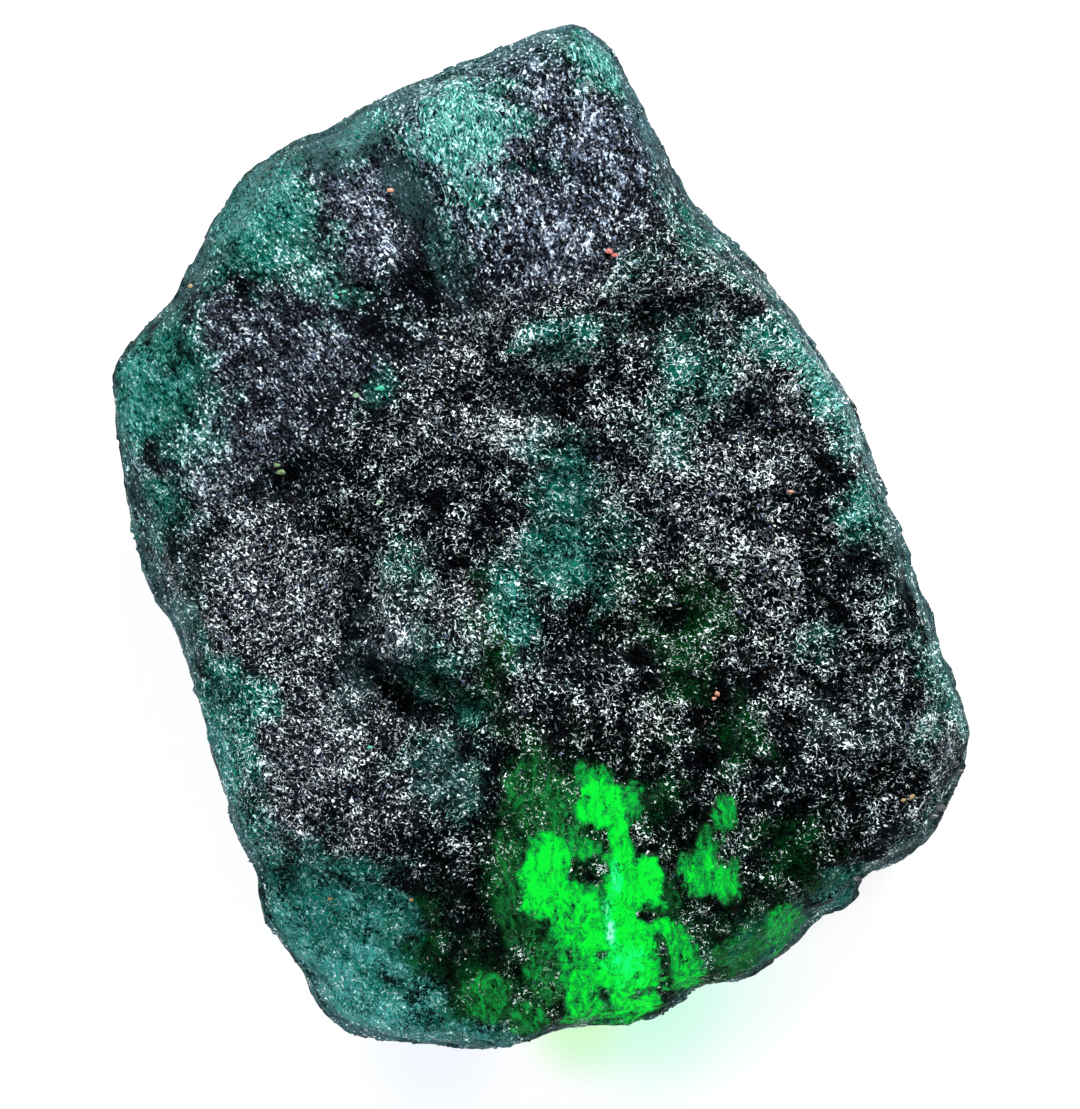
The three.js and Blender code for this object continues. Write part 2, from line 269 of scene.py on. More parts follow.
# Furrows in the broken face, and the ridges and the knob that stand out of it.
FURROWS = (
    (-13.2, 31.6, 4.6, 1.8, -62, 1.0),
    (-9.8, 24.6, 4.8, 1.7, -66, 1.0),
    (-6.4, 18.4, 3.6, 1.5, -60, 0.8),
    (-13.8, -3.4, 5.6, 1.5, 84, 1.0),
    (-12.6, -11.6, 3.2, 1.5, -50, 1.0),
    (-7.4, -14.6, 4.4, 1.5, -12, 1.0),
    (-1.0, 12.4, 3.8, 1.6, 5, 0.8),
    (-5.0, -23.0, 1.6, 6.0, 0, 0.6),
    (10.8, 18.0, 4.8, 1.3, 0, 0.7),
    (-20.6, 4.4, 3.8, 1.5, 10, 0.8),
    (-24.0, -28.0, 4.6, 1.4, 5, 0.9),
    (20.0, -20.4, 6.0, 1.5, 18, 0.6),
    (9.6, -9.0, 6.4, 1.3, -12, 0.5),
)
RIDGES = (
    (-9.2, -7.2, 3.2, 4.6, 0, 1.0),
    (1.2, 16.4, 4.6, 1.5, 8, 1.0),
    (-17.6, 29.4, 4.6, 2.2, -52, 0.6),
    (-5.2, 31.0, 3.0, 5.0, 20, 0.6),
    (-16.6, 8.6, 5.6, 1.8, -45, 0.5),
    (25.0, 7.0, 1.8, 8.0, 17, 0.7),
    (-18.6, -20.4, 6.4, 1.8, 30, 0.5),
    (4.0, -2.0, 2.4, 6.0, -20, 0.5),
    (17.0, 1.0, 5.8, 2.0, -30, 0.5),
    (27.0, -18.0, 6.4, 1.8, 20, 0.6),
)

# Deep green where the torch only just shines through, without edges.
GREEN_SHADES = (
    (12.6, -7.0, 3.6, 4.2, 0, 0.8),
    (11.6, -11.4, 2.8, 2.8, 0, 0.75),
    (6.8, -4.2, 4.2, 3.2, 0, 0.45),
    (16.4, -16.4, 2.8, 2.2, 0, 0.8),
    (-4.2, -8.4, 1.8, 5.2, 10, 0.7),
    (-9.0, -12.0, 3.6, 2.2, 0, 0.4),
    (-4.4, -14.6, 2.4, 2.4, 0, 0.55),
    (20.8, -26.4, 3.4, 3.0, 0, 0.75),
    (26.0, -26.4, 4.0, 2.4, 30, 0.3),
    (18.0, -30.4, 6.4, 3.0, 25, 0.5),
    (-9.0, -33.6, 2.4, 3.6, 0, 0.65),
    (-0.6, -21.6, 3.8, 3.6, 0, 1.0),
    (-3.2, -27.4, 1.8, 5.4, 0, 0.8),
    (-4.4, -37.6, 4.6, 3.2, 0, 0.9),
    (2.0, -17.6, 3.2, 2.2, 0, 0.55),
    (9.4, -22.6, 2.0, 3.4, 0, 0.7),
    (10.6, -29.6, 2.0, 3.0, 0, 0.6),
    (12.4, -23.4, 2.6, 1.6, 0, 0.4),
    (14.6, -32.6, 3.4, 2.0, 0, 0.6),
    (8.6, -17.0, 3.0, 2.0, 0, 0.3),
    (0.6, -35.8, 2.4, 4.2, 0, 0.7),
    (3.4, -26.2, 2.4, 2.4, 0, 1.0),
    (14.4, -37.4, 6.4, 3.0, 32, 0.9),
    (6.4, -41.0, 6.0, 2.4, 10, 0.9),
    (23.0, -33.0, 4.0, 2.0, 32, 0.5),
)

# The torch's green light, coming up through the clear beryl of the thin end.
GLOWS = (
    (4.8, -21.8, 1.9, 1.9, 0, 0.95),
    (4.2, -19.8, 1.5, 1.3, 0, 0.42),
    (7.4, -21.6, 0.8, 1.7, 0, 0.42),
    (6.3, -24.6, 0.8, 1.8, 6, 0.9),
    (0.2, -27.9, 2.0, 3.3, 0, 1.0),
    (3.2, -25.5, 1.5, 0.9, 0, 0.5),
    (3.5, -30.0, 1.6, 1.9, 0, 0.8),
    (6.6, -28.6, 1.6, 3.0, 0, 1.0),
    (8.4, -28.3, 1.7, 2.2, 0, 0.98),
    (6.2, -33.8, 2.9, 3.4, 0, 1.0),
    (3.2, -34.8, 1.8, 3.8, 0, 0.62),
    (3.4, -32.0, 2.7, 1.5, -18, 0.75),
    (3.6, -37.4, 1.7, 2.6, 0, 0.55),
    (7.6, -37.4, 2.0, 2.2, 0, 0.8),
    (5.0, -40.4, 3.4, 1.5, 8, 0.42),
    (7.4, -41.0, 4.6, 1.2, 8, 0.26),
    (11.2, -34.8, 1.8, 3.2, 24, 0.5),
    (9.2, -32.0, 1.6, 0.8, 0, 0.8),
    (13.3, -27.4, 1.9, 2.1, 15, 0.55),
    (15.0, -28.0, 1.2, 1.9, 0, 0.4),
    (15.1, -22.7, 1.0, 1.5, 0, 0.42),
    (13.8, -24.8, 1.0, 1.2, 0, 0.22),
    (20.0, -32.8, 1.7, 2.5, -12, 0.33),
    (16.4, -34.4, 2.4, 1.9, 20, 0.17),
    (-4.8, -38.0, 2.2, 2.2, 0, 0.25),
    (-1.2, -40.0, 1.8, 1.5, 0, 0.23),
    (7.4, -39.6, 2.8, 0.9, 10, 0.2),
    (-0.6, -20.8, 2.6, 3.0, 0, 0.18),
    (2.2, -22.8, 1.6, 2.4, 0, 0.22),
    (-2.9, -28.0, 1.3, 4.2, 0, 0.17),
    (0.4, -35.6, 1.9, 3.6, 0, 0.2),
    (-1.4, -32.6, 1.8, 2.2, 0, 0.14),
    (10.2, -31.0, 1.4, 3.0, 0, 0.14),
)

# Where the torch light is strongest, nearly white.
HOT_CORES = (
    (6.0, -28.2, 0.6, 2.0, 0, 0.5),
    (5.6, -32.6, 0.45, 1.2, 0, 1.0),
    (5.3, -30.6, 0.35, 1.1, 0, 0.8),
    (6.6, -34.8, 2.2, 1.5, 0, 0.4),
    (7.0, -36.6, 1.6, 1.0, 0, 0.3),
)

# Black schist in front of the torch light.
DARK_VEINS = (
    (3.6, -27.6, 1.15, 1.3, 0, 1.0),
    (10.2, -35.0, 0.4, 2.6, 16, 0.8),
    (4.85, -34.4, 0.5, 0.7, 0, 0.9),
    (5.1, -37.7, 0.5, 0.6, 0, 0.8),
    (8.5, -31.2, 1.0, 0.45, -5, 0.95),
    (8.4, -37.7, 1.1, 0.35, 20, 0.7),
    (2.3, -34.6, 0.35, 1.3, 10, 0.7),
    (4.9, -29.6, 0.22, 1.6, 0, 0.6),
    (2.5, -31.0, 0.25, 1.2, 0, 0.6),
    (14.9, -26.6, 0.9, 0.5, -30, 0.6),
    (0.3, -28.0, 0.3, 0.35, 0, 0.4),
)

# Which way the mica grows in each part of the face, and how silky it is:
# (x, y, reach, direction in degrees, silkiness).
GROWTH_ZONES = (
    (0.0, 36.0, 16.0, 100, 1.1),
    (-20.0, 20.0, 15.0, -56, 0.9),
    (-5.0, 5.0, 14.0, 140, 0.25),
    (-18.0, -12.0, 14.0, -75, 0.6),
    (22.0, -6.0, 17.0, -30, 0.1),
    (14.0, 16.0, 13.0, 40, 0.4),
    (4.0, -30.0, 14.0, 75, 0.0),
)

# Grains of other minerals and loose chips: (x, y, size, hue). A hue is a place on the ramp GRAIN_HUES.
STRAY_GRAINS = (
    (5.5, 23.5, 0.6, 0.05),
    (5.9, 23.2, 0.4, 0.05),
    (14.4, -12.8, 0.55, 0.15),
    (14.1, -13.2, 0.4, 0.15),
    (20.4, 3.8, 0.5, 0.25),
    (-21.5, 5.4, 0.7, 0.35),
    (-21.8, 6.0, 0.5, 0.35),
    (-12.5, 28.6, 0.45, 0.15),
    (-13.3, 12.3, 0.6, 0.45),
    (-16.9, 19.8, 0.45, 0.45),
    (-16.3, 20.2, 0.35, 0.45),
    (-15.3, 11.7, 0.5, 0.55),
    (-14.2, -17.2, 0.4, 0.45),
    (-13.4, 3.0, 0.4, 0.55),
    (-29.0, 20.8, 0.4, 0.65),
    (30.5, -21.3, 0.5, 0.65),
    (29.8, -21.6, 0.35, 0.65),
    (-10.8, -29.8, 0.35, 0.75),
    (-17.5, -29.7, 0.35, 0.75),
    (34.6, -19.3, 0.7, 0.95),
    (34.3, -18.6, 0.5, 0.95),
    (33.0, -22.4, 0.8, 0.95),
    (32.4, -23.0, 0.5, 0.95),
    (26.0, -28.2, 0.6, 0.95),
)
GRAIN_HUES = (
    (0.0, (0.75, 0.05, 0.03)),
    (0.1, (0.70, 0.32, 0.30)),
    (0.2, (0.62, 0.30, 0.12)),
    (0.3, (0.22, 0.035, 0.012)),
    (0.4, (0.02, 0.42, 0.16)),
    (0.5, (0.05, 0.50, 0.38)),
    (0.6, (0.42, 0.40, 0.16)),
    (0.7, (0.40, 0.20, 0.05)),
    (0.9, (0.03, 0.035, 0.04)),
)


# --- What the stone's material is made of -------------------------------------------------------

# The numbers that every point of the skin carries, for its material to read.
COVER_NAMES = (
    "beryl", "veil", "smoke", "haze", "shade", "glow", "core", "calm", "black", "satin",
    "blunt_end", "left_flank", "hackle", "rind",
)
RIM_SECTORS = 240  # round the outline, to find how near the rim a place lies
RIM_WIDTH = 4.4  # of the beryl that shows along the rim, in millimetres
WORM_WIDTH = 0.07  # how far from a cloud's middle value its curled flakes reach
WORM_MEAN = 0.27  # the mean of the curled flakes over the face
STROKE_BEND = (3.0, -2.2, 0.0)  # how far broad clouds bend the drawn-out ones, in millimetres
RELIEF_DEPTH = 0.26 * MM
# Painted shade at the bottom of the crevices.
CREVICE_SHADE_BLACK = (0.0003, 0.0006, 0.001)
TORCHLIT_BASE = (0.0005, 0.01, 0.002)  # what daylight shows where the torch shines through

# The hottest torch light, from green to nearly white.
CORE_STOPS = (
    (0.0, (0.003, 0.95, 0.05)),
    (0.55, (0.012, 1.0, 0.28)),
    (1.0, (0.35, 1.0, 0.75)),
)

# Torch light through beryl, from a deep tint to full strength.
GLOW_STOPS = (
    (0.0, (0.0, 0.0, 0.0)),
    (0.07, (0.001, 0.012, 0.003)),
    (0.14, (0.004, 0.05, 0.011)),
    (0.24, (0.006, 0.14, 0.026)),
    (0.36, (0.004, 0.32, 0.05)),
    (0.58, (0.004, 0.54, 0.035)),
    (0.85, (0.003, 0.93, 0.042)),
)

GREEN_TINT = (0.45, 0.95, 0.88, 1)  # of the crystals that grow on beryl
GRAIN_SEED = 9
GRAIN_REACH = 0.8  # how far round a grain the skin may lie that it sits on, in millimetres
GRAIN_SHAPE = (1.2, 0.8, 0.6)

# A crystal has four corners and four faces. Its faces lie side by side on its own part of the map.
SHARD_SIDES = np.array([[0, 1, 3], [1, 2, 3], [2, 0, 3], [0, 2, 1]])
SHARD_MAP = np.array([(0.04, 0.05), (0.96, 0.05), (0.5, 0.95), (0.45, 0.35)])
SHARD_BACK = np.array([(0.04, 0.05), (0.5, 0.95), (0.04, 0.95)])

# --- The studio ---------------------------------------------------------------------------------

# Green torch light and the stone's shade on the floor: (x, y, reach, tint), in millimetres.
FLOOR_TINTS = (
    (11.0, -36.0, 14.0, (0.77, 1.0, 0.92)),
    (8.0, -38.6, 10.0, (0.62, 1.0, 0.80)),
    (3.0, -41.0, 6.0, (0.66, 0.98, 0.62)),
    (-9.0, -43.0, 8.0, (0.90, 0.94, 1.0)),
)
FLOOR_RADIUS = 1.5  # metres
FLOOR_DROP = 0.01 * MM  # below the stone, so that the two never fight for the same plane
SWEEP_RADIUS = 0.45  # of the curve between floor and wall
SWEEP_STEPS = 8
WALL_HEIGHT = 0.9
FLOOR_SIDES = 96
FRAME_WIDTH = 90 * MM  # what the camera takes in at the height of the stone's rim
FRAME_CENTRE = (-0.2 * MM, -1.35 * MM, 9 * MM)
SENSOR_WIDTH = 36.0
STONE_MIDDLE = (0, 0, 0.01)  # what the lights point at
KEY_PLACE, KEY_SIZE, KEY_TINT = (0.22, 0.72, 0.54), (0.5, 0.3), (1.0, 0.99, 0.97)
FILL_PLACE, FILL_SIZE, FILL_TINT = (-0.5, -0.5, 0.55), (0.4, 0.4), (0.95, 0.97, 1.0)
FILL_SHARE = 0.42  # of the key light's power
AIR_TINT, AIR_LIGHT = (0.93, 0.96, 1.0, 1), 0.06


# --- Sizes and colours a user may change --------------------------------------------------------


def length_property(name, description, default):
    return bpy.props.FloatProperty(
        name=name, description=description, default=default * MM, unit="LENGTH", precision=5
    )


def colour_property(name, description, default):
    return bpy.props.FloatVectorProperty(
        name=name, description=description, default=default, subtype="COLOR", size=3, min=0, max=1
    )


class StoneSizes(bpy.types.PropertyGroup):
    """Sizes of the stone's surface relief and of what grows on it."""

    grain: length_property("Grain", "Edge of the skin's finest facets", 0.35)
    hackle: length_property("Hackle", "How far the broken face rises and falls", 0.62)
    ledge: length_property("Ledge", "How far the schist's layers step in and out on the sides", 0.4)
    swell: length_property("Swell", "How deep the furrows are and how high the ridges", 0.9)
    flake: length_property("Flake", "Mean length of a silvery mica flake", 0.36)
    plate: length_property("Plate", "Mean length of a dull mica plate", 0.38)
    splinter: length_property("Splinter", "Mean length of a beryl splinter", 0.42)
    flakes: bpy.props.IntProperty(
        name="Flakes", description="How many silvery mica flakes there are", default=4600
    )
    plates: bpy.props.IntProperty(
        name="Plates", description="How many dull mica plates there are", default=6000
    )
    splinters: bpy.props.IntProperty(
        name="Splinters", description="How many beryl splinters there are", default=5000
    )


class StoneColours(bpy.types.PropertyGroup):
    """Colours of the minerals, and of the painted glints, the painted edge light and the torch light."""

    schist: colour_property("Schist", "Black mica schist", (0.0006, 0.0009, 0.0014))
    # Also the colour of the dimmer painted glints.
    mica: colour_property("Mica", "Silvery lilac mica", (0.34, 0.47, 0.71))
    # The colour of the brightest painted glints.
    mica_glint: colour_property("Silver", "The brightest mica", (0.90, 0.98, 1.0))
    beryl: colour_property("Beryl", "Deep green beryl", (0.0014, 0.118, 0.09))
    veil: colour_property("Veil", "Cloudy pale beryl", (0.035, 0.285, 0.258))
    lilac: colour_property("Silky mica", "Dim lilac mica between glints", (0.02, 0.023, 0.035))
    cloudy: colour_property("Cloudy beryl", "Grey-green worn beryl on the bevels", (0.056, 0.085, 0.1))
    leaf: colour_property("Lit beryl", "Beryl that the torch only just lights", (0.0023, 0.065, 0.015))
    # Painted light: the sides lighter and bluish, as if lit through from the pale floor.
    rind: colour_property("Rind", "Bluish worn rind round the edge", (0.038, 0.104, 0.119))
    smoke: colour_property("Smoke", "Smoky grey-green beryl", (0.026, 0.068, 0.075))
    shade: colour_property("Green shade", "Torch light that is nearly gone", (0.0003, 0.035, 0.006))
    # Painted highlights on beryl: the crests of its folds and its glints.
    beryl_glint: colour_property("Frost", "Bright edges on beryl", (0.62, 0.95, 0.96))


class StudioSettings(bpy.types.PropertyGroup):
    """The floor, the lights and the camera."""

    floor: colour_property("Floor", "Pale studio floor", (0.27, 0.27, 0.27))
    floor_light: bpy.props.FloatProperty(
        name="Floor light", description="How brightly the floor itself shines", default=0.78, min=0
    )
    key_power: bpy.props.FloatProperty(
        name="Key light", description="Power of the soft box", default=19.2, min=0, unit="POWER"
    )
    camera_lens: bpy.props.FloatProperty(
        name="Lens", description="Focal length of the camera", default=300.0, unit="CAMERA"
    )


# --- Maths on many places at once ---------------------------------------------------------------


def corner_hash(cell, seed):
    """A fixed whole number for each corner of a lattice."""
    x, y, z = (cell[:, axis].astype(np.int64) for axis in range(3))
    mixed = x * 374761393 + y * 668265263 + z * 1274126177 + seed * 974634777
    mixed = (mixed ^ (mixed >> 13)) * 1103515245 & 0xFFFFFFFF
    mixed = (mixed ^ (mixed >> 16)) * 668265263 & 0xFFFFFFFF
    return mixed ^ (mixed >> 15)


def corner_vectors(cell, seed):
    """Three fixed numbers between -1 and 1 for each corner of a lattice."""
    mixed = corner_hash(cell, seed)
    parts = [(mixed >> shift) & 1023 for shift in (0, 10, 20)]
    return np.stack(parts, axis=1) / 511.5 - 1


def noise(places, seed=0):
    """Smooth noise between about -1 and 1, one swell for each unit of distance."""
    cell = np.floor(places).astype(np.int64)
    part = places - cell
    fade = part**3 * (part * (part * 6 - 15) + 10)
    total = np.zeros(len(places))
    for corner in itertools.product((0, 1), repeat=3):
        slope = corner_vectors(cell + corner, seed)
        weight = np.prod(np.where(corner, fade, 1 - fade), axis=1)
        total += weight * np.sum((part - corner) * slope, axis=1)
    return total * 1.7


def fractal(places, octaves, seed=0):
    """Noise with finer noise on it."""
    total = np.zeros(len(places))
    for octave in range(octaves):
        total += noise(places * 2**octave, seed + octave) / 2**octave
    return total


def shards(places, seed=0):
    """Broken-crystal relief: each cell of space has its own tilted face, with a crisp edge around it."""
    cell = np.floor(places).astype(np.int64)
    nearest = np.full(len(places), np.inf)
    height = np.zeros(len(places))
    for step in itertools.product((-1, 0, 1), repeat=3):
        neighbour = cell + step
        centre = neighbour + 0.5 + 0.45 * corner_vectors(neighbour, seed)
        offset = places - centre
        reach = np.sum(offset * offset, axis=1)
        tilt = corner_vectors(neighbour, seed + 1)
        here = np.sum(offset * tilt, axis=1) + 0.35 * tilt[:, 0]
        closer = reach < nearest
        height[closer] = here[closer]
        nearest[closer] = reach[closer]
    return height


def smooth_step(values, start, end):
    """0 before start, 1 after end, and smooth between."""
    share = np.clip((values - start) / (end - start), 0, 1)
    return share * share * (3 - 2 * share)


def spots(places, table, soft=0.5, ragged=0.4, swell_length=2.6, squareness=2.0, seed=0):
    """How strongly a table of ragged spots covers each place, from 0 to 1."""
    wobble = ragged * np.stack([fractal(places / swell_length, 3, seed + k) for k in (0, 7)], axis=1)
    cover = np.zeros(len(places))
    for x, y, long, wide, turn, strength in table:
        near = np.flatnonzero(np.hypot(places[:, 0] - x, places[:, 1] - y) < 2.4 * max(long, wide) + 1)
        angle = math.radians(turn)
        dx, dy = places[near, 0] - x, places[near, 1] - y
        along = (dx * math.cos(angle) + dy * math.sin(angle)) / long + wobble[near, 0]
        across = (dy * math.cos(angle) - dx * math.sin(angle)) / wide + wobble[near, 1]
        away = (np.abs(along) ** squareness + np.abs(across) ** squareness) ** (1 / squareness)
        cover[near] = np.maximum(cover[near], strength * smooth_step(1 - away, -soft, soft))
    return cover


def turned(places, degrees, along, across, depth):
    """Places in units of a grain that is so long and so wide and lies turned by so much."""
    angle = math.radians(degrees)
    x, y, z = places.T
    return np.stack(
        [
            (x * math.cos(angle) + y * math.sin(angle)) / along,
            (y * math.cos(angle) - x * math.sin(angle)) / across,
            z / depth,
        ],
        axis=1,
    )


def growth_weights(places):
    """How much each growth zone counts at each place. The weights add up to 1."""
    rows = []
    for x, y, reach, _, _ in GROWTH_ZONES:
        away = np.hypot(places[:, 0] - x, places[:, 1] - y) / reach
        rows.append(np.exp(-2.5 * away * away) + 1e-6)
    weights = np.array(rows)
    return weights / weights.sum(axis=0)


def growth_direction(places):
    """The direction, in radians, that the mica runs at each place."""
    weights = growth_weights(places)
    turns = np.radians([2 * zone[3] for zone in GROWTH_ZONES])
    x = (weights * np.cos(turns)[:, None]).sum(axis=0)
    y = (weights * np.sin(turns)[:, None]).sum(axis=0)
    return 0.5 * np.arctan2(y, x)


# --- Meshes -------------------------------------------------------------------------------------


def mesh_arrays(mesh):
    """A mesh's points and point normals, in millimetres."""
    places = np.zeros(len(mesh.vertices) * 3)
    normals = np.zeros(len(mesh.vertices) * 3)
    mesh.vertices.foreach_get("co", places)
    mesh.vertex_normals.foreach_get("vector", normals)
    return places.reshape(-1, 3) / MM, normals.reshape(-1, 3)


def set_places(mesh, places):
    """Moves a mesh's points to places in millimetres."""
    mesh.vertices.foreach_set("co", (places * MM).ravel())
    mesh.update()


def add_number(mesh, name, values, domain="POINT"):
    """Stores one number for each point or face of a mesh, for its material to read."""
    layer = mesh.attributes.new(name, "FLOAT", domain)
    layer.data.foreach_set("value", values.astype(np.float32))


def new_piece(name, mesh):
    """A mesh object that belongs to the stone and rides with it."""
    piece = bpy.data.objects.new(name, mesh)
    bpy.context.scene.collection.objects.link(piece)
    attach(piece, "root")
    return piece


def with_modifiers(mesh, modifiers, group=None):
    """A new mesh made from a mesh by a list of modifiers: (kind, settings)."""
    draft = bpy.data.objects.new("draft", mesh)
    bpy.context.scene.collection.objects.link(draft)
    if group is not None:
        members = draft.vertex_groups.new(name="chosen")
        members.add(group.tolist(), 1.0, "REPLACE")
    for kind, settings in modifiers:
        modifier = draft.modifiers.new(kind, kind)
        for name, value in settings.items():
            setattr(modifier, name, value)
    made = bpy.data.meshes.new_from_object(draft.evaluated_get(bpy.context.evaluated_depsgraph_get()))
    bpy.data.objects.remove(draft)
    return made


def remeshed_stone(voxel):
    """The CAD stone as an even net, with its flats worn round and a coarser underside."""
    cad_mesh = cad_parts[STONE_NODE].data.copy()
    fine = with_modifiers(
        cad_mesh,
        (
            ("WELD", {"merge_threshold": 0.01 * MM}),
            ("REMESH", {"mode": "VOXEL", "voxel_size": voxel}),
            ("SMOOTH", {"factor": 0.5, "iterations": 8}),
        ),
    )
    if len(fine.vertices) < 1000:
        raise RuntimeError("the stone's net came out empty")
    places, normals = mesh_arrays(fine)
    under = np.flatnonzero((normals[:, 2] < -0.5) & (places[:, 2] < 6))
    share = SKIN_TRIANGLES / (2 * len(fine.polygons))
    return with_modifiers(
        fine,
        (("DECIMATE", {"ratio": min(share, 1), "vertex_group": "chosen", "vertex_group_factor": 10.0}),),
        under,
    )


def broken_relief(places):
    """How far the skin stands out from the CAD stone, in units of the hackle size."""
    face = 0.5 * fractal(places / 3.3, 3, 5)
    bend = 0.5 * noise(places / 3.1, 40)[:, None]
    for zone, weight in zip(GROWTH_ZONES, growth_weights(places)):
        near = weight > 0.04
        grain = turned(places[near], zone[3], 2.6, 1.1, 1.4) + bend[near]
        face[near] += weight[near] * (0.75 * shards(grain, 11) + 0.45 * shards(grain * 2.1, 12))
    return face


def layered_relief(places):
    """The schist's layers on the sides, in units of the ledge size."""
    tilt = 0.12 * places[:, 0] + 0.08 * places[:, 1] + 1.1 * noise(places / 8.0, 60)
    layers = np.stack([places[:, 0] / 4.0, places[:, 1] / 4.0, (places[:, 2] + tilt) / 1.1], axis=1)
    return 0.9 * shards(layers, 21) + 0.6 * fractal(layers, 3, 22)


def skin_places(places, normals, sizes):
    """Moves the skin's points in and out to make the broken surface. Gives the broken relief too."""
    upward = smooth_step(normals[:, 2], 0.25, 0.75)
    resting = smooth_step(-normals[:, 2], 0.6, 0.95)
    cover = surface_cover(places)
    smoothness = np.maximum(0.55 * cover["beryl"], 0.85 * cover["smoke"])
    face = broken_relief(places) * (1 - smoothness)
    side = layered_relief(places) - 0.7
    shift = face * sizes.hackle / MM * upward + side * sizes.ledge / MM * (1 - upward)
    swell = spots(places, RIDGES, 1.0, 0.35, 3.0, seed=17) - spots(places, FURROWS, 1.0, 0.35, 3.0, seed=18)
    shift += swell * sizes.swell / MM * upward
    shift *= 1 - 0.8 * resting
    moved = places + normals * shift[:, None]
    return np.clip(moved, LOW_CLEAR, HIGH), face


def surface_cover(places):
    """What shows at each place: beryl, pale veil, smoke, mica, black schist and torch light."""
    haze = spots(places, MICA_HAZES, 0.7, 0.4, 3.4, seed=5)
    black = spots(places, BLACK_PATCHES, 0.5, 0.5, 3.0, seed=6)
    calm = spots(places, CALM_FACETS, 0.5, 0.4, 3.0, seed=16)
    haze = np.clip(haze + 0.22 * fractal(places / 3.6, 3, 8), 0, 1) * (1 - 0.9 * black)
    haze *= 1 - 0.8 * calm
    glow = spots(places, GLOWS, 0.24, 0.3, 1.4, squareness=2.6, seed=9)
    glow *= 1 - spots(places, DARK_VEINS, 0.4, 0.5, 1.2, seed=10)
    return {
        "beryl": spots(places, BERYL_WINDOWS, 0.7, 0.5, 2.4, seed=3),
        "veil": spots(places, PALE_VEILS, 0.75, 0.55, 1.8, seed=4),
        "smoke": spots(places, SMOKY_BANDS, 0.7, 0.4, 2.4, seed=14),
        "haze": haze,
        "black": black,
        "calm": calm,
        "shade": spots(places, GREEN_SHADES, 1.0, 0.8, 2.4, seed=15),
        "glow": glow,
        "core": spots(places, HOT_CORES, 0.7, 0.5, 0.9, seed=12),
    }


def nearness_to_rim(places):
    """How near each place lies to the outline seen from above: 0 inside, 1 at the rim."""
    distance = np.hypot(places[:, 0], places[:, 1])
    turn = np.arctan2(places[:, 1], places[:, 0])
    sector = ((turn / math.tau + 0.5) * RIM_SECTORS).astype(int) % RIM_SECTORS
    farthest = np.zeros(RIM_SECTORS)
    np.maximum.at(farthest, sector, distance)
    ragged = RIM_WIDTH * (1 + 2.0 * fractal(places / 5.0, 3, 34))
    return 1 - smooth_step(farthest[sector] - distance, 0.0, np.maximum(ragged, 0.6))


def paint_masks(mesh, places, normals, face):
    """Stores where the skin shows each mineral, the torch light and the painted edge light."""
    upward = smooth_step(normals[:, 2], -0.1, 0.5)
    cover = surface_cover(places)
    # Beryl along the rim, partly real and partly painted light: the thin edge looks lit through from the
    # pale floor.
    rim_beryl = smooth_step(fractal(places / 7.0, 3, 33), -0.1, 0.5)
    rim = nearness_to_rim(places) * (1 - cover["shade"]) * (1 - 0.8 * cover["black"])
    cover["beryl"] = np.maximum(cover["beryl"] * upward, 0.7 * rim_beryl * (1 - upward))
    cover["beryl"] = np.clip(cover["beryl"] + 0.55 * rim * upward, 0, 1)
    cover["smoke"] = np.maximum(cover["smoke"], 0.8 * (1 - upward))
    cover["haze"] = (cover["haze"] + 0.2 * face) * upward + 0.3 * (1 - upward)
    lower_shade = cover["shade"]
    for name in ("glow", "core", "shade"):
        cover[name] = cover[name] * upward
    growth = growth_weights(places)
    cover["satin"] = np.clip(np.tensordot([zone[4] for zone in GROWTH_ZONES], growth, 1), 0, 1)
    cover["blunt_end"] = smooth_step(growth[0], 0.3, 0.7) * upward
    cover["left_flank"] = smooth_step(growth[1], 0.3, 0.7) * upward
    cover["hackle"] = face
    # The sides are lighter and bluish in random patches: painted light, as if lit through from the pale
    # floor.
    worn = smooth_step(fractal(places / 9.0, 3, 35), -0.35, 0.15)
    cover["rind"] = (1 - smooth_step(normals[:, 2], 0.1, 0.6)) * (1 - 0.8 * lower_shade)
    cover["rind"] *= worn + (1 - worn) * 0.3
    for name, values in cover.items():
        add_number(mesh, name, values)


def read_numbers(mesh, name):
    """One stored number for each point of a mesh."""
    values = np.zeros(len(mesh.vertices), np.float32)
    mesh.attributes[name].data.foreach_get("value", values)
    return values.astype(float)


class SkinSampler:
    """Picks places on the skin, and reads the skin's stored numbers there."""

    def __init__(self, mesh, places, normals, density, count, dice):
        mesh.calc_loop_triangles()
        corners = np.zeros(len(mesh.loop_triangles) * 3, np.int32)
        mesh.loop_triangles.foreach_get("vertices", corners)
        corners = corners.reshape(-1, 3)
        a, b, c = (places[corners[:, k]] for k in range(3))
        area = np.linalg.norm(np.cross(b - a, c - a), axis=1)
        chance = np.cumsum(area * density[corners].mean(axis=1))
        picked = np.searchsorted(chance, dice.random(count) * chance[-1])
        u, v = np.sqrt(dice.random(count)), dice.random(count)
        self.corners = corners[picked]
        self.shares = np.stack([1 - u, u * (1 - v), u * v], axis=1)
        self.spot = self.mean(places)
        self.out = unit(self.mean(normals))

    def mean(self, values):
        """The skin's values at the picked places."""
        shares = self.shares if values.ndim == 1 else self.shares[:, :, None]
        return (values[self.corners] * shares).sum(axis=1)


def unit(vectors):
    return vectors / np.maximum(np.linalg.norm(vectors, axis=1, keepdims=True), 1e-9)


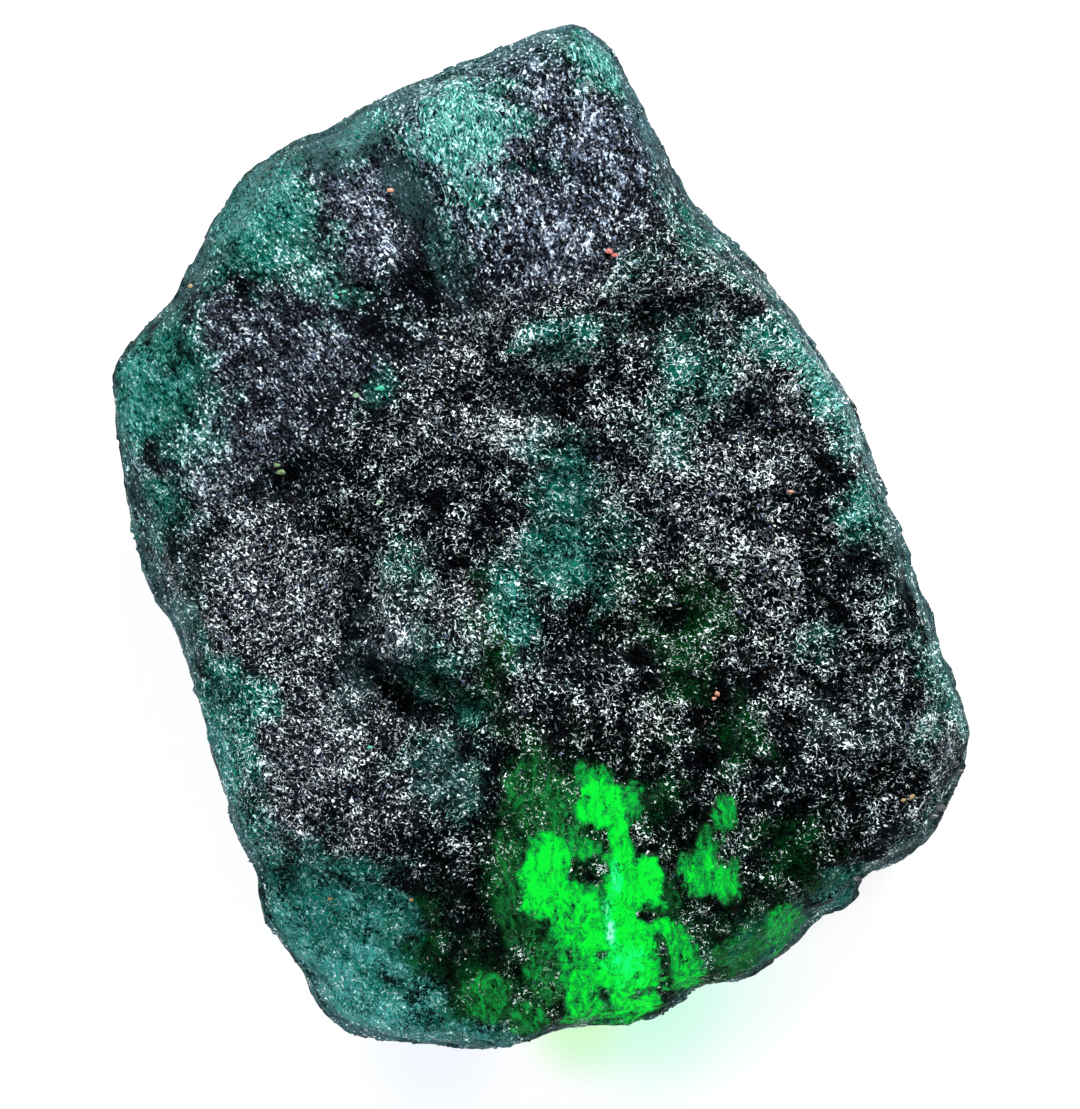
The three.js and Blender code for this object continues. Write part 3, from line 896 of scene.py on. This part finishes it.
def crystal_shards(name, centres, out, run, lengths, widths, heights, leans):
    """One mesh of many thin splinters with four faces each, lying along their run."""
    across = unit(np.cross(out, run))
    run = np.cross(across, out)
    lengths, widths, heights, leans = (v[:, None] for v in (lengths / 2, widths, heights, leans))
    low = centres - out * 0.3 * heights
    points = np.stack(
        [
            low - run * lengths - across * widths * 0.35,
            low + run * lengths - across * widths * 0.35,
            low + across * widths * 0.65 + run * lengths * leans,
            centres + out * heights - run * lengths * leans * 0.5,
        ],
        axis=1,
    )
    triangles = (np.arange(len(centres))[:, None, None] * 4 + SHARD_SIDES).reshape(-1, 3)
    points = np.clip(points.reshape(-1, 3), LOW_CLEAR, HIGH)
    mesh = bpy.data.meshes.new(name)
    mesh.from_pydata((points * MM).tolist(), [], triangles.tolist())
    add_crystal_map(mesh, len(centres))
    return mesh


def add_crystal_map(mesh, count):
    """Gives each crystal its own small square of the flat map."""
    across = math.ceil(math.sqrt(count))
    number = np.arange(count)
    corner = np.stack([number % across, number // across], axis=1)[:, None, :]
    pattern = np.concatenate([SHARD_MAP[SHARD_SIDES[:3].ravel()], SHARD_BACK])
    layer = mesh.uv_layers.new(name="OFBake")
    layer.data.foreach_set("uv", ((corner + pattern[None]) / across).ravel().astype(np.float32))


def scatter_crystals(name, skin, density, count, length, slimness, stray, lift, seed):
    """Grows a lot of crystals on the skin, each turned and tilted a little its own way."""
    dice = np.random.default_rng(seed)
    places, normals = mesh_arrays(skin)
    picks = SkinSampler(skin, places, normals, density(skin, normals), count, dice)
    angle = growth_direction(picks.spot) + stray * dice.normal(size=count)
    flat = np.stack([np.cos(angle), np.sin(angle), 0 * angle], axis=1)
    out = unit(picks.out + 0.2 * dice.normal(size=(count, 3)))
    lengths = length / MM * np.clip(np.exp(0.35 * dice.normal(size=count)), 0.4, 1.7)
    lengths *= 1 + 0.3 * picks.mean(read_numbers(skin, "blunt_end"))
    widths = lengths * slimness * np.exp(0.2 * dice.normal(size=count))
    centres = picks.spot + out * (lift * dice.random(count))[:, None]
    leans = np.clip(0.5 * dice.normal(size=count), -0.8, 0.8)
    mesh = crystal_shards(name, centres, out, flat, lengths, widths, 0.45 * widths, leans)
    return mesh, picks, dice


# --- Materials ----------------------------------------------------------------------------------


class Shade:
    """A socket in a material's tree. Arithmetic on it adds Math nodes to the tree."""

    def __init__(self, tree, socket=None):
        self.tree = tree
        self.socket = socket

    def node(self, kind, settings=None, inputs=None, output=0):
        """Adds a node, sets it up, fills its inputs with values or links, and gives one output."""
        made = self.tree.nodes.new(kind)
        for name, value in (settings or {}).items():
            if name == "stops":
                for stop, (position, colour) in zip(spare_stops(made, len(value)), value):
                    stop.position = position
                    stop.color = (*colour, 1)
            else:
                setattr(made, name, value)
        for name, value in (inputs or {}).items():
            if isinstance(value, Shade):
                self.tree.links.new(value.socket, made.inputs[name])
            else:
                made.inputs[name].default_value = value
        return Shade(self.tree, made.outputs[output] if made.outputs else None)

    def math(self, operation, *terms, clamp=False):
        settings = {"operation": operation, "use_clamp": clamp}
        return self.node("ShaderNodeMath", settings, dict(enumerate(terms)))

    def __add__(self, other):
        return self.math("ADD", self, other)

    __radd__ = __add__

    def __sub__(self, other):
        return self.math("SUBTRACT", self, other)

    def __rsub__(self, other):
        return self.math("SUBTRACT", other, self)

    def __mul__(self, other):
        return self.math("MULTIPLY", self, other)

    __rmul__ = __mul__

    def __truediv__(self, other):
        return self.math("DIVIDE", self, other)

    def __pow__(self, other):
        return self.math("POWER", self, other)

    def clamped(self):
        return self.math("ADD", self, 0.0, clamp=True)

    def ramped(self, start, end):
        """0 below start, 1 above end, and smooth between."""
        inputs = {"Value": self, "From Min": start, "From Max": end}
        return self.node("ShaderNodeMapRange", {"interpolation_type": "SMOOTHSTEP"}, inputs)

    def attribute(self, name):
        """A number that the mesh carries."""
        return self.node("ShaderNodeAttribute", {"attribute_name": name}, output="Fac")

    def mixed(self, share, first, second):
        """A colour between two colours."""
        inputs = {0: share, 6: as_colour(first), 7: as_colour(second)}
        return self.node("ShaderNodeMix", {"data_type": "RGBA"}, inputs, output=2)


def spare_stops(ramp_node, count):
    """The stops of a colour ramp, made up to a number."""
    stops = ramp_node.color_ramp.elements
    while len(stops) < count:
        stops.new(1.0)
    return stops


def as_colour(value):
    return value if isinstance(value, Shade) else (*value, 1)


def new_material(name):
    """A material with an empty tree, and a Shade to build that tree from."""
    material = bpy.data.materials.new(name)
    material.use_nodes = True
    material.node_tree.nodes.clear()
    return material, Shade(material.node_tree)


def finish_material(start, inputs):
    """Ends a tree in one Principled surface with the given inputs."""
    surface = start.node("ShaderNodeBsdfPrincipled", {}, inputs)
    start.node("ShaderNodeOutputMaterial", {}, {"Surface": surface})


class RockPatterns:
    """The patterns of the broken rock that its colours, its relief and the torch light share."""

    def __init__(self, start, cover):
        local = start.node("ShaderNodeTexCoord", output="Object")
        self.start = start
        self.place = start.node("ShaderNodeVectorMath", {"operation": "SCALE"}, {0: local, "Scale": 1 / MM})
        self.broad = self.clouds(0.42, 3.0)
        self.fine = self.clouds(4.5, 0.0)
        bending = {0: self.broad, 1: STROKE_BEND, 2: self.place}
        self.bent = start.node("ShaderNodeVectorMath", {"operation": "MULTIPLY_ADD"}, bending)
        self.fibre = self.strokes(93, 2.1, 0.5, 2.5)
        self.crumple = self.crumpled(cover)

    def clouds(self, scale, detail, distortion=0.0):
        inputs = {"Vector": self.place, "Scale": scale, "Detail": detail, "Distortion": distortion}
        return self.start.node("ShaderNodeTexNoise", {}, inputs)

    def strokes(self, degrees, along, across, detail):
        """Clouds drawn out in one direction over the face."""
        inputs = {
            "Vector": self.bent,
            "Rotation": (0, 0, math.radians(degrees)),
            "Scale": (along, across, across),
        }
        drawn = self.start.node("ShaderNodeMapping", {"vector_type": "TEXTURE"}, inputs)
        return self.start.node("ShaderNodeTexNoise", {}, {"Vector": drawn, "Scale": 1.0, "Detail": detail})

    def crumpled(self, cover):
        """The fine folds of the face: lumps and curled flakes, drawn out where the mica is silky."""
        blunt, flank = cover["blunt_end"], cover["left_flank"]
        lumps = self.clouds(2.4, 1.8)
        off_worm = self.start.math("ABSOLUTE", self.clouds(2.1, 1.0, 0.7) - 0.5)
        worms = (1 - off_worm / WORM_WIDTH).clamped()
        grain = 0.9 * blunt * (self.strokes(98, 1.0, 0.3, 2.0) - 0.5)
        grain = grain + 0.75 * flank * (self.strokes(-56, 0.7, 0.28, 2.0) - 0.5)
        folds = 0.5 + (0.42 - 0.12 * cover["satin"]) * (lumps - 0.5) + grain
        return folds + (0.38 - 0.22 * blunt - 0.18 * flank) * (worms - WORM_MEAN)

    def risen(self, cover):
        """How high each place stands towards the light. What stands highest gets a painted glint."""
        satin = cover["satin"]
        rise = self.crumple + (0.4 + 0.1 * satin) * (self.fine - 0.5)
        rise = rise + (0.8 - 0.3 * satin) * (self.broad - 0.5)
        return rise + (0.035 - 0.02 * satin) * cover["hackle"]


def glint(rise, silky, cover):
    """How bright the painted glints on the mica are: hardly any, except where it stands above the rest."""
    low = 0.5 - 0.11 * cover["haze"] - 0.19 * silky - 0.05 * cover["veil"] - 0.034 * cover["blunt_end"]
    low = low + 0.08 * cover["calm"] + 0.065 * cover["black"] + 0.085 * cover["shade"]
    low = low + 0.03 * cover["smoke"] + 0.05 * cover["rind"]
    reach = 0.264 + 0.243 * silky + 0.06 * cover["calm"]
    return ((rise - low) / reach).clamped() ** (7.0 - 2.8 * silky)


def rock_colour(start, rock, cover, colours):
    """The colour of the rock by daylight, with painted glints and painted shade in its crevices. Gives the
    painted glint and the beryl's share too.
    """
    crumple, broad = rock.crumple - 0.5, rock.broad - 0.5
    silky = cover["satin"] * cover["haze"]
    rise = rock.risen(cover)
    tone = glint(rise, silky, cover)
    # Painted shade: the colour darkens to black in the crevices, less on calm facets and on the lit sides.
    crevice_unshaded = (rise + 0.06 * cover["calm"] + 0.14 * cover["rind"]).ramped(0.28, 0.56)

    beryl = (cover["beryl"] + 1.2 * broad + 0.9 * crumple).ramped(0.02, 1.0)
    cloud = (cover["veil"] + 1.2 * crumple + 0.9 * broad).ramped(0.1, 0.9)
    smoked = (cover["smoke"] + 0.6 * broad).ramped(0.1, 0.95)
    shaded = (cover["shade"] + 1.1 * broad + 0.3 * crumple).ramped(0.1, 1.0)
    folds = (rock.crumple + 0.3 * (rock.fine - 0.5) + 0.3 * broad).ramped(0.44, 0.76)

    gem = start.mixed(cloud, colours.beryl, colours.veil)
    # The crests of the folds on beryl are lightened: a painted highlight.
    gem = start.mixed((0.12 + 0.08 * cover["veil"] + 0.02 * cover["calm"]) * folds, gem, colours.beryl_glint)
    gem = start.mixed(smoked * 0.6, gem, colours.cloudy)
    gem = start.mixed((1.6 * shaded).clamped(), gem, colours.leaf)

    under = start.mixed((1.2 * silky).clamped(), colours.schist, colours.lilac)
    under = start.mixed(shaded, under, colours.shade)
    under = start.mixed(smoked * 0.8, under, colours.smoke)
    under = start.mixed(beryl * 0.95, under, gem)
    # The painted edge light on the sides.
    under = start.mixed(cover["rind"] * (0.6 + 1.4 * broad), under, colours.rind)
    crevice_shaded = start.mixed(0.08 + 0.92 * crevice_unshaded, CREVICE_SHADE_BLACK, under)

    # The painted glints, from dim lilac mica to near white, and pale on beryl.
    shine = ((1.4 * tone + 0.6) * (1 - 0.8 * cover["satin"])).clamped()
    bright = start.mixed(shine, colours.mica, colours.mica_glint)
    bright = start.mixed((beryl * 0.6).clamped(), bright, colours.beryl_glint)
    return start.mixed(tone, crevice_shaded, bright), tone, beryl


def torch_light(start, rock, cover):
    """The torch light that comes through the beryl, and how strong it is at each place."""
    grit = (rock.fibre - 0.5) + 0.5 * (rock.crumple - 0.5)
    off_crack = start.math("ABSOLUTE", rock.fibre - 0.47)
    crack = 1 - off_crack.ramped(0.004, 0.03)
    crack = crack * (rock.broad + 0.8 * (rock.crumple - 0.5)).ramped(0.47, 0.6)
    lit = cover["glow"] * (0.95 + 2.3 * grit - 0.7 * crack)
    lit = (lit + 0.3 * grit * cover["glow"].ramped(0.03, 0.3)).clamped()
    light = start.node("ShaderNodeValToRGB", {"stops": GLOW_STOPS}, {"Fac": lit})
    heat = (cover["core"] * (0.9 + 2.2 * grit)).clamped()
    core_light = start.node("ShaderNodeValToRGB", {"stops": CORE_STOPS}, {"Fac": heat})
    return start.mixed((heat.ramped(0.1, 0.6) * lit).clamped(), light, core_light), lit


def stone_material(colours):
    """Glinting mica and schist, clear and cloudy beryl, and the torch light in it."""
    material, start = new_material("emerald_and_schist")
    cover = {name: start.attribute(name) for name in COVER_NAMES}
    rock = RockPatterns(start, cover)
    daylight, tone, beryl = rock_colour(start, rock, cover, colours)
    shining, lit = torch_light(start, rock, cover)
    height = (rock.crumple + 0.12 * rock.fine) * (1.0 + 1.1 * cover["satin"])
    relief = {"Height": height, "Strength": 1.0, "Distance": RELIEF_DEPTH}
    finish_material(
        start,
        {
            "Base Color": start.mixed(lit.ramped(0.06, 0.4), daylight, TORCHLIT_BASE),
            "Roughness": 0.36 - 0.1 * tone - 0.04 * beryl + 0.14 * (rock.fine - 0.5),
            "Normal": start.node("ShaderNodeBump", {}, relief),
            "IOR": 1.57,
            "Specular IOR Level": 0.01,
            "Emission Color": shining,
            "Emission Strength": 1.0,
        },
    )
    return material


def crystal_material(name, dull, bright, gloss):
    """A lot of small crystals, from dull ones to bright ones: their brightness is painted glint."""
    material, start = new_material(name)
    tone = start.attribute("tone")
    green = start.attribute("green")
    local = start.node("ShaderNodeTexCoord", output="Object")
    cloud = start.node("ShaderNodeTexNoise", {}, {"Vector": local, "Scale": 2 / MM, "Detail": 1.0})
    shown = start.mixed((tone + 0.3 * (cloud - 0.5)).clamped(), dull, bright)
    multiply = {"data_type": "RGBA", "blend_type": "MULTIPLY"}
    tinted = start.node("ShaderNodeMix", multiply, {0: green, 6: shown, 7: GREEN_TINT}, 2)
    roughness = gloss + 0.2 * (cloud - 0.4)
    finish_material(
        start, {"Base Color": tinted, "Roughness": roughness, "IOR": 1.6, "Specular IOR Level": 0.03}
    )
    return material


def grain_material():
    """Stray grains, each with its own hue."""
    material, start = new_material("stray_grain")
    hue = start.attribute("hue")
    local = start.node("ShaderNodeTexCoord", output="Object")
    cloud = start.node("ShaderNodeTexNoise", {}, {"Vector": local, "Scale": 4 / MM, "Detail": 1.0})
    colour = start.node("ShaderNodeValToRGB", {"stops": GRAIN_HUES}, {"Fac": hue})
    shown = start.mixed(0.6 * cloud, colour, (0.03, 0.03, 0.03))
    finish_material(start, {"Base Color": shown, "Roughness": 0.25 + 0.4 * cloud, "IOR": 1.6})
    return material


def floor_material(studio):
    """Matt and softly shining under the stone, tinted by the torch, and shining only further out."""
    material, start = new_material("pale_floor")
    local = start.node("ShaderNodeTexCoord", output="Object")
    cloud = start.node("ShaderNodeTexNoise", {}, {"Vector": local, "Scale": 3.0, "Detail": 2.0})
    colour = start.mixed(cloud, tuple(0.97 * part for part in studio.floor), tuple(studio.floor))
    shine = (1.0, 1.0, 1.0)
    for x, y, reach, tint in FLOOR_TINTS:
        offset = start.node(
            "ShaderNodeVectorMath", {"operation": "SUBTRACT"}, {0: local, 1: (x * MM, y * MM, 0)}
        )
        away = start.node("ShaderNodeVectorMath", {"operation": "LENGTH"}, {0: offset}, "Value")
        near = 1 - away.ramped(0.1 * reach * MM, reach * MM)
        colour = start.mixed(near, colour, tuple(part * f for part, f in zip(tint, studio.floor)))
        shine = start.mixed(near, shine, tint)
    near = start.node(
        "ShaderNodeBsdfPrincipled",
        {},
        {
            "Base Color": colour,
            "Roughness": 0.9,
            "Specular IOR Level": 0.1,
            "Emission Color": shine,
            "Emission Strength": studio.floor_light,
        },
    )
    far = start.node("ShaderNodeEmission", {}, {"Color": (1.0, 1.0, 1.0, 1.0), "Strength": 0.97})
    away = start.node("ShaderNodeVectorMath", {"operation": "LENGTH"}, {0: local}, "Value")
    both = start.node("ShaderNodeMixShader", {}, {0: away.ramped(0.12, 0.35), 1: near, 2: far})
    start.node("ShaderNodeOutputMaterial", {}, {"Surface": both})
    return material


# --- Operators ----------------------------------------------------------------------------------


class EMERALD_OT_stone(bpy.types.Operator):
    """Make the stone's broken skin of beryl and schist"""

    bl_idname = "emerald.stone"
    bl_label = "Stone"

    def execute(self, context):
        sizes = context.scene.stone_sizes
        mesh = remeshed_stone(sizes.grain)
        places, normals = mesh_arrays(mesh)
        places, face = skin_places(places, normals, sizes)
        set_places(mesh, places)
        paint_masks(mesh, places, normals, face)
        mesh.materials.clear()
        mesh.materials.append(stone_material(context.scene.stone_colours))
        mesh.shade_smooth()
        skin = new_piece("emerald_stone", mesh)
        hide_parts(STONE_NODE)
        return {"FINISHED"}


def facing_up(normals):
    """Crystals grow on the broken face, and only a few on the sides."""
    return 0.04 + smooth_step(normals[:, 2], 0.3, 0.7)


def unlit(skin):
    """Where the torch light doesn't come through."""
    return 1 - smooth_step(read_numbers(skin, "glow"), 0.08, 0.35)


def flake_density(skin, normals):
    """Silver flakes grow on hazy schist, fewer where the mica is silky."""
    haze, smoke = np.maximum(read_numbers(skin, "haze"), 0), read_numbers(skin, "smoke")
    growing = (0.12 + 1.0 * haze) * (1 - 0.5 * read_numbers(skin, "black"))
    growing *= (1 - 0.9 * read_numbers(skin, "calm")) * (1 - 0.5 * read_numbers(skin, "beryl"))
    growing *= 1 - 0.5 * read_numbers(skin, "satin")
    return growing * (1 - 0.8 * smoke) * (0.01 + unlit(skin)) * facing_up(normals)


def plate_density(skin, normals):
    """Dull plates grow on hazy schist, and hardly on beryl."""
    haze, smoke = np.maximum(read_numbers(skin, "haze"), 0), read_numbers(skin, "smoke")
    growing = (0.12 + 1.2 * haze) * (1 - 0.6 * smoke)
    growing *= 1 - 0.9 * smooth_step(read_numbers(skin, "beryl"), 0.1, 0.6)
    growing *= 1 - 0.9 * read_numbers(skin, "calm")
    return growing * unlit(skin) * facing_up(normals)


def splinter_density(skin, normals):
    """Splinters grow on beryl, most of all in its pale veils."""
    beryl, veil = read_numbers(skin, "beryl"), read_numbers(skin, "veil")
    haze = np.clip(read_numbers(skin, "haze"), 0, 1)
    growing = smooth_step(beryl, 0.25, 0.9) * (0.08 + veil) * (0.2 + haze)
    return (growing + 1e-5) * unlit(skin) * facing_up(normals)


class EMERALD_OT_crystals(bpy.types.Operator):
    """Grow the mica flakes, the mica plates and the beryl splinters on the stone"""

    bl_idname = "emerald.crystals"
    bl_label = "Mica and splinters"

    def execute(self, context):
        skin = bpy.data.objects["emerald_stone"].data
        sizes, colours = context.scene.stone_sizes, context.scene.stone_colours
        # Name, where it grows, how many, length, slimness, stray from the run, lift off the skin.
        lots = (
            ("silver_mica", flake_density, sizes.flakes, sizes.flake, 0.34, 0.6, 0.04),
            ("dull_mica", plate_density, sizes.plates, sizes.plate, 0.4, 0.5, 0.02),
            ("beryl_splinters", splinter_density, sizes.splinters, sizes.splinter, 0.26, 0.25, 0.02),
        )
        finishes = {
            "silver_mica": (tuple(colours.schist), tuple(colours.mica_glint), 0.26),
            "dull_mica": (tuple(colours.schist), tuple(colours.mica), 0.3),
            "beryl_splinters": (tuple(colours.beryl), tuple(colours.beryl_glint), 0.25),
        }
        skews = {"silver_mica": 2.6, "dull_mica": 3.0, "beryl_splinters": 2.4}
        for seed, (name, density, count, length, slimness, stray, lift) in enumerate(lots):
            mesh, picks, dice = scatter_crystals(
                name, skin, density, count, length, slimness, stray, lift, seed
            )
            haze, beryl, black = (
                picks.mean(read_numbers(skin, each)) for each in ("haze", "beryl", "black")
            )
            # Each crystal's brightness is random and greater on hazy mica: the bright ones are painted
            # glints.
            tone = dice.random(count) ** skews[name] * (0.5 + 0.4 * haze) * (1 - 0.4 * black)
            tone *= 0.4 if name == "dull_mica" else 1
            add_number(mesh, "tone", np.repeat(np.clip(tone, 0, 1), 4))
            green = smooth_step(beryl, 0.2, 0.8) * (0.4 + 0.6 * dice.random(count))
            add_number(mesh, "green", np.repeat(green, 4))
            mesh.materials.append(crystal_material(name, *finishes[name]))
            new_piece(name, mesh)
        return {"FINISHED"}


class EMERALD_OT_grains(bpy.types.Operator):
    """Lay the stray grains and loose chips on the stone"""

    bl_idname = "emerald.grains"
    bl_label = "Stray grains"

    def execute(self, context):
        skin = bpy.data.objects["emerald_stone"].data
        places, _ = mesh_arrays(skin)
        dice = np.random.default_rng(GRAIN_SEED)
        points, faces, hues = [], [], []
        for x, y, size, hue in STRAY_GRAINS:
            above = np.flatnonzero(np.hypot(places[:, 0] - x, places[:, 1] - y) < GRAIN_REACH)
            if not len(above):
                raise RuntimeError(f"no skin under the grain at {x}, {y}")
            # The highest skin near by: where the stone slopes, a grain stands a little clear of it.
            top = above[np.argmax(places[above, 2])]
            ball = bmesh.new()
            bmesh.ops.create_icosphere(ball, subdivisions=1, radius=size / 2)
            corners = np.array([vert.co for vert in ball.verts])
            corners *= 1 + 0.25 * dice.normal(size=(len(corners), 1))
            corners *= GRAIN_SHAPE
            centre = np.array([x, y, places[top, 2]])
            faces += [[len(points) + vert.index for vert in face.verts] for face in ball.faces]
            points += list(np.clip(centre + corners, LOW_CLEAR, HIGH) * MM)
            hues += [hue] * len(corners)
            ball.free()
        mesh = bpy.data.meshes.new("stray_grains")
        mesh.from_pydata(points, [], faces)
        add_number(mesh, "hue", np.array(hues))
        mesh.materials.append(grain_material())
        new_piece("stray_grains", mesh)
        return {"FINISHED"}


class EMERALD_OT_studio(bpy.types.Operator):
    """Make the floor, the lights and the camera"""

    bl_idname = "emerald.studio"
    bl_label = "Studio"

    def execute(self, context):
        studio = context.scene.studio_settings
        make_floor(studio)
        make_lights(studio)
        make_camera(studio)
        return {"FINISHED"}


def make_floor(studio):
    """A round floor that sweeps up into a wall all the way round."""
    profile = [(FLOOR_RADIUS * share, 0.0) for share in (0.0, 0.25, 0.6, 1.0)]
    for step in range(1, SWEEP_STEPS + 1):
        angle = math.pi / 2 * step / SWEEP_STEPS
        out = FLOOR_RADIUS + SWEEP_RADIUS * math.sin(angle)
        profile.append((out, SWEEP_RADIUS * (1 - math.cos(angle))))
    profile.append((FLOOR_RADIUS + SWEEP_RADIUS, WALL_HEIGHT))
    around = FLOOR_SIDES
    points = [(0, 0, -FLOOR_DROP)]
    for radius, height in profile[1:]:
        for step in range(around):
            angle = 2 * math.pi * step / around
            points.append((radius * math.cos(angle), radius * math.sin(angle), height - FLOOR_DROP))
    faces = [(0, 1 + step, 1 + (step + 1) % around) for step in range(around)]
    for ring in range(len(profile) - 2):
        inner, outer = 1 + ring * around, 1 + (ring + 1) * around
        for step in range(around):
            after = (step + 1) % around
            faces.append((inner + step, outer + step, outer + after, inner + after))
    mesh = bpy.data.meshes.new("floor")
    mesh.from_pydata(points, [], faces)
    mesh.shade_smooth()
    mesh.materials.append(floor_material(studio))
    floor = bpy.data.objects.new("floor", mesh)
    bpy.context.scene.collection.objects.link(floor)


def area_light(name, place, size, power, colour):
    """A soft box that points at the stone."""
    data = bpy.data.lights.new(name, "AREA")
    data.shape = "RECTANGLE"
    data.size, data.size_y = size
    data.energy = power
    data.color = colour
    lamp = bpy.data.objects.new(name, data)
    bpy.context.scene.collection.objects.link(lamp)
    lamp.location = place
    lamp.rotation_euler = (Vector(STONE_MIDDLE) - Vector(place)).to_track_quat("-Z", "Y").to_euler()


def make_lights(studio):
    """A soft key light beyond the blunt end, a weaker one opposite, and pale air."""
    area_light("key_light", KEY_PLACE, KEY_SIZE, studio.key_power, KEY_TINT)
    area_light("fill_light", FILL_PLACE, FILL_SIZE, studio.key_power * FILL_SHARE, FILL_TINT)
    world = bpy.data.worlds.new("studio_air")
    world.use_nodes = True
    sky = world.node_tree.nodes["Background"]
    sky.inputs["Color"].default_value = AIR_TINT
    sky.inputs["Strength"].default_value = AIR_LIGHT
    bpy.context.scene.world = world
    bpy.context.scene.view_settings.view_transform = "Standard"


def make_camera(studio):
    """A camera straight above the stone."""
    data = bpy.data.cameras.new("camera")
    data.lens = studio.camera_lens
    data.sensor_fit = "HORIZONTAL"
    data.sensor_width = SENSOR_WIDTH
    data.clip_start = 0.01
    data.clip_end = 20
    camera = bpy.data.objects.new("camera", data)
    bpy.context.scene.collection.objects.link(camera)
    distance = FRAME_WIDTH * data.lens / SENSOR_WIDTH
    camera.location = Vector(FRAME_CENTRE) + Vector((0, 0, distance))
    bpy.context.scene.camera = camera


class EMERALD_PT_panel(bpy.types.Panel):
    """The steps that build the raw emerald"""

    bl_idname = "EMERALD_PT_panel"
    bl_label = "Raw Emerald"
    bl_space_type = "VIEW_3D"
    bl_region_type = "UI"
    bl_category = "Raw Emerald"

    def draw(self, context):
        for operator in OPERATORS:
            self.layout.operator(operator.bl_idname)


OPERATORS = (EMERALD_OT_studio, EMERALD_OT_stone, EMERALD_OT_crystals, EMERALD_OT_grains)
CLASSES = (StoneSizes, StoneColours, StudioSettings, *OPERATORS, EMERALD_PT_panel)
SETTINGS = {
    "stone_sizes": StoneSizes,
    "stone_colours": StoneColours,
    "studio_settings": StudioSettings,
}


def register():
    for each in CLASSES:
        bpy.utils.register_class(each)
    for name, group in SETTINGS.items():
        setattr(bpy.types.Scene, name, bpy.props.PointerProperty(type=group))


def unregister():
    for name in SETTINGS:
        delattr(bpy.types.Scene, name)
    for each in reversed(CLASSES):
        bpy.utils.unregister_class(each)


def main():
    register()
    bpy.ops.emerald.studio()
    bpy.ops.emerald.stone()
    bpy.ops.emerald.crystals()
    bpy.ops.emerald.grains()


if __name__ == "__main__":
    main()
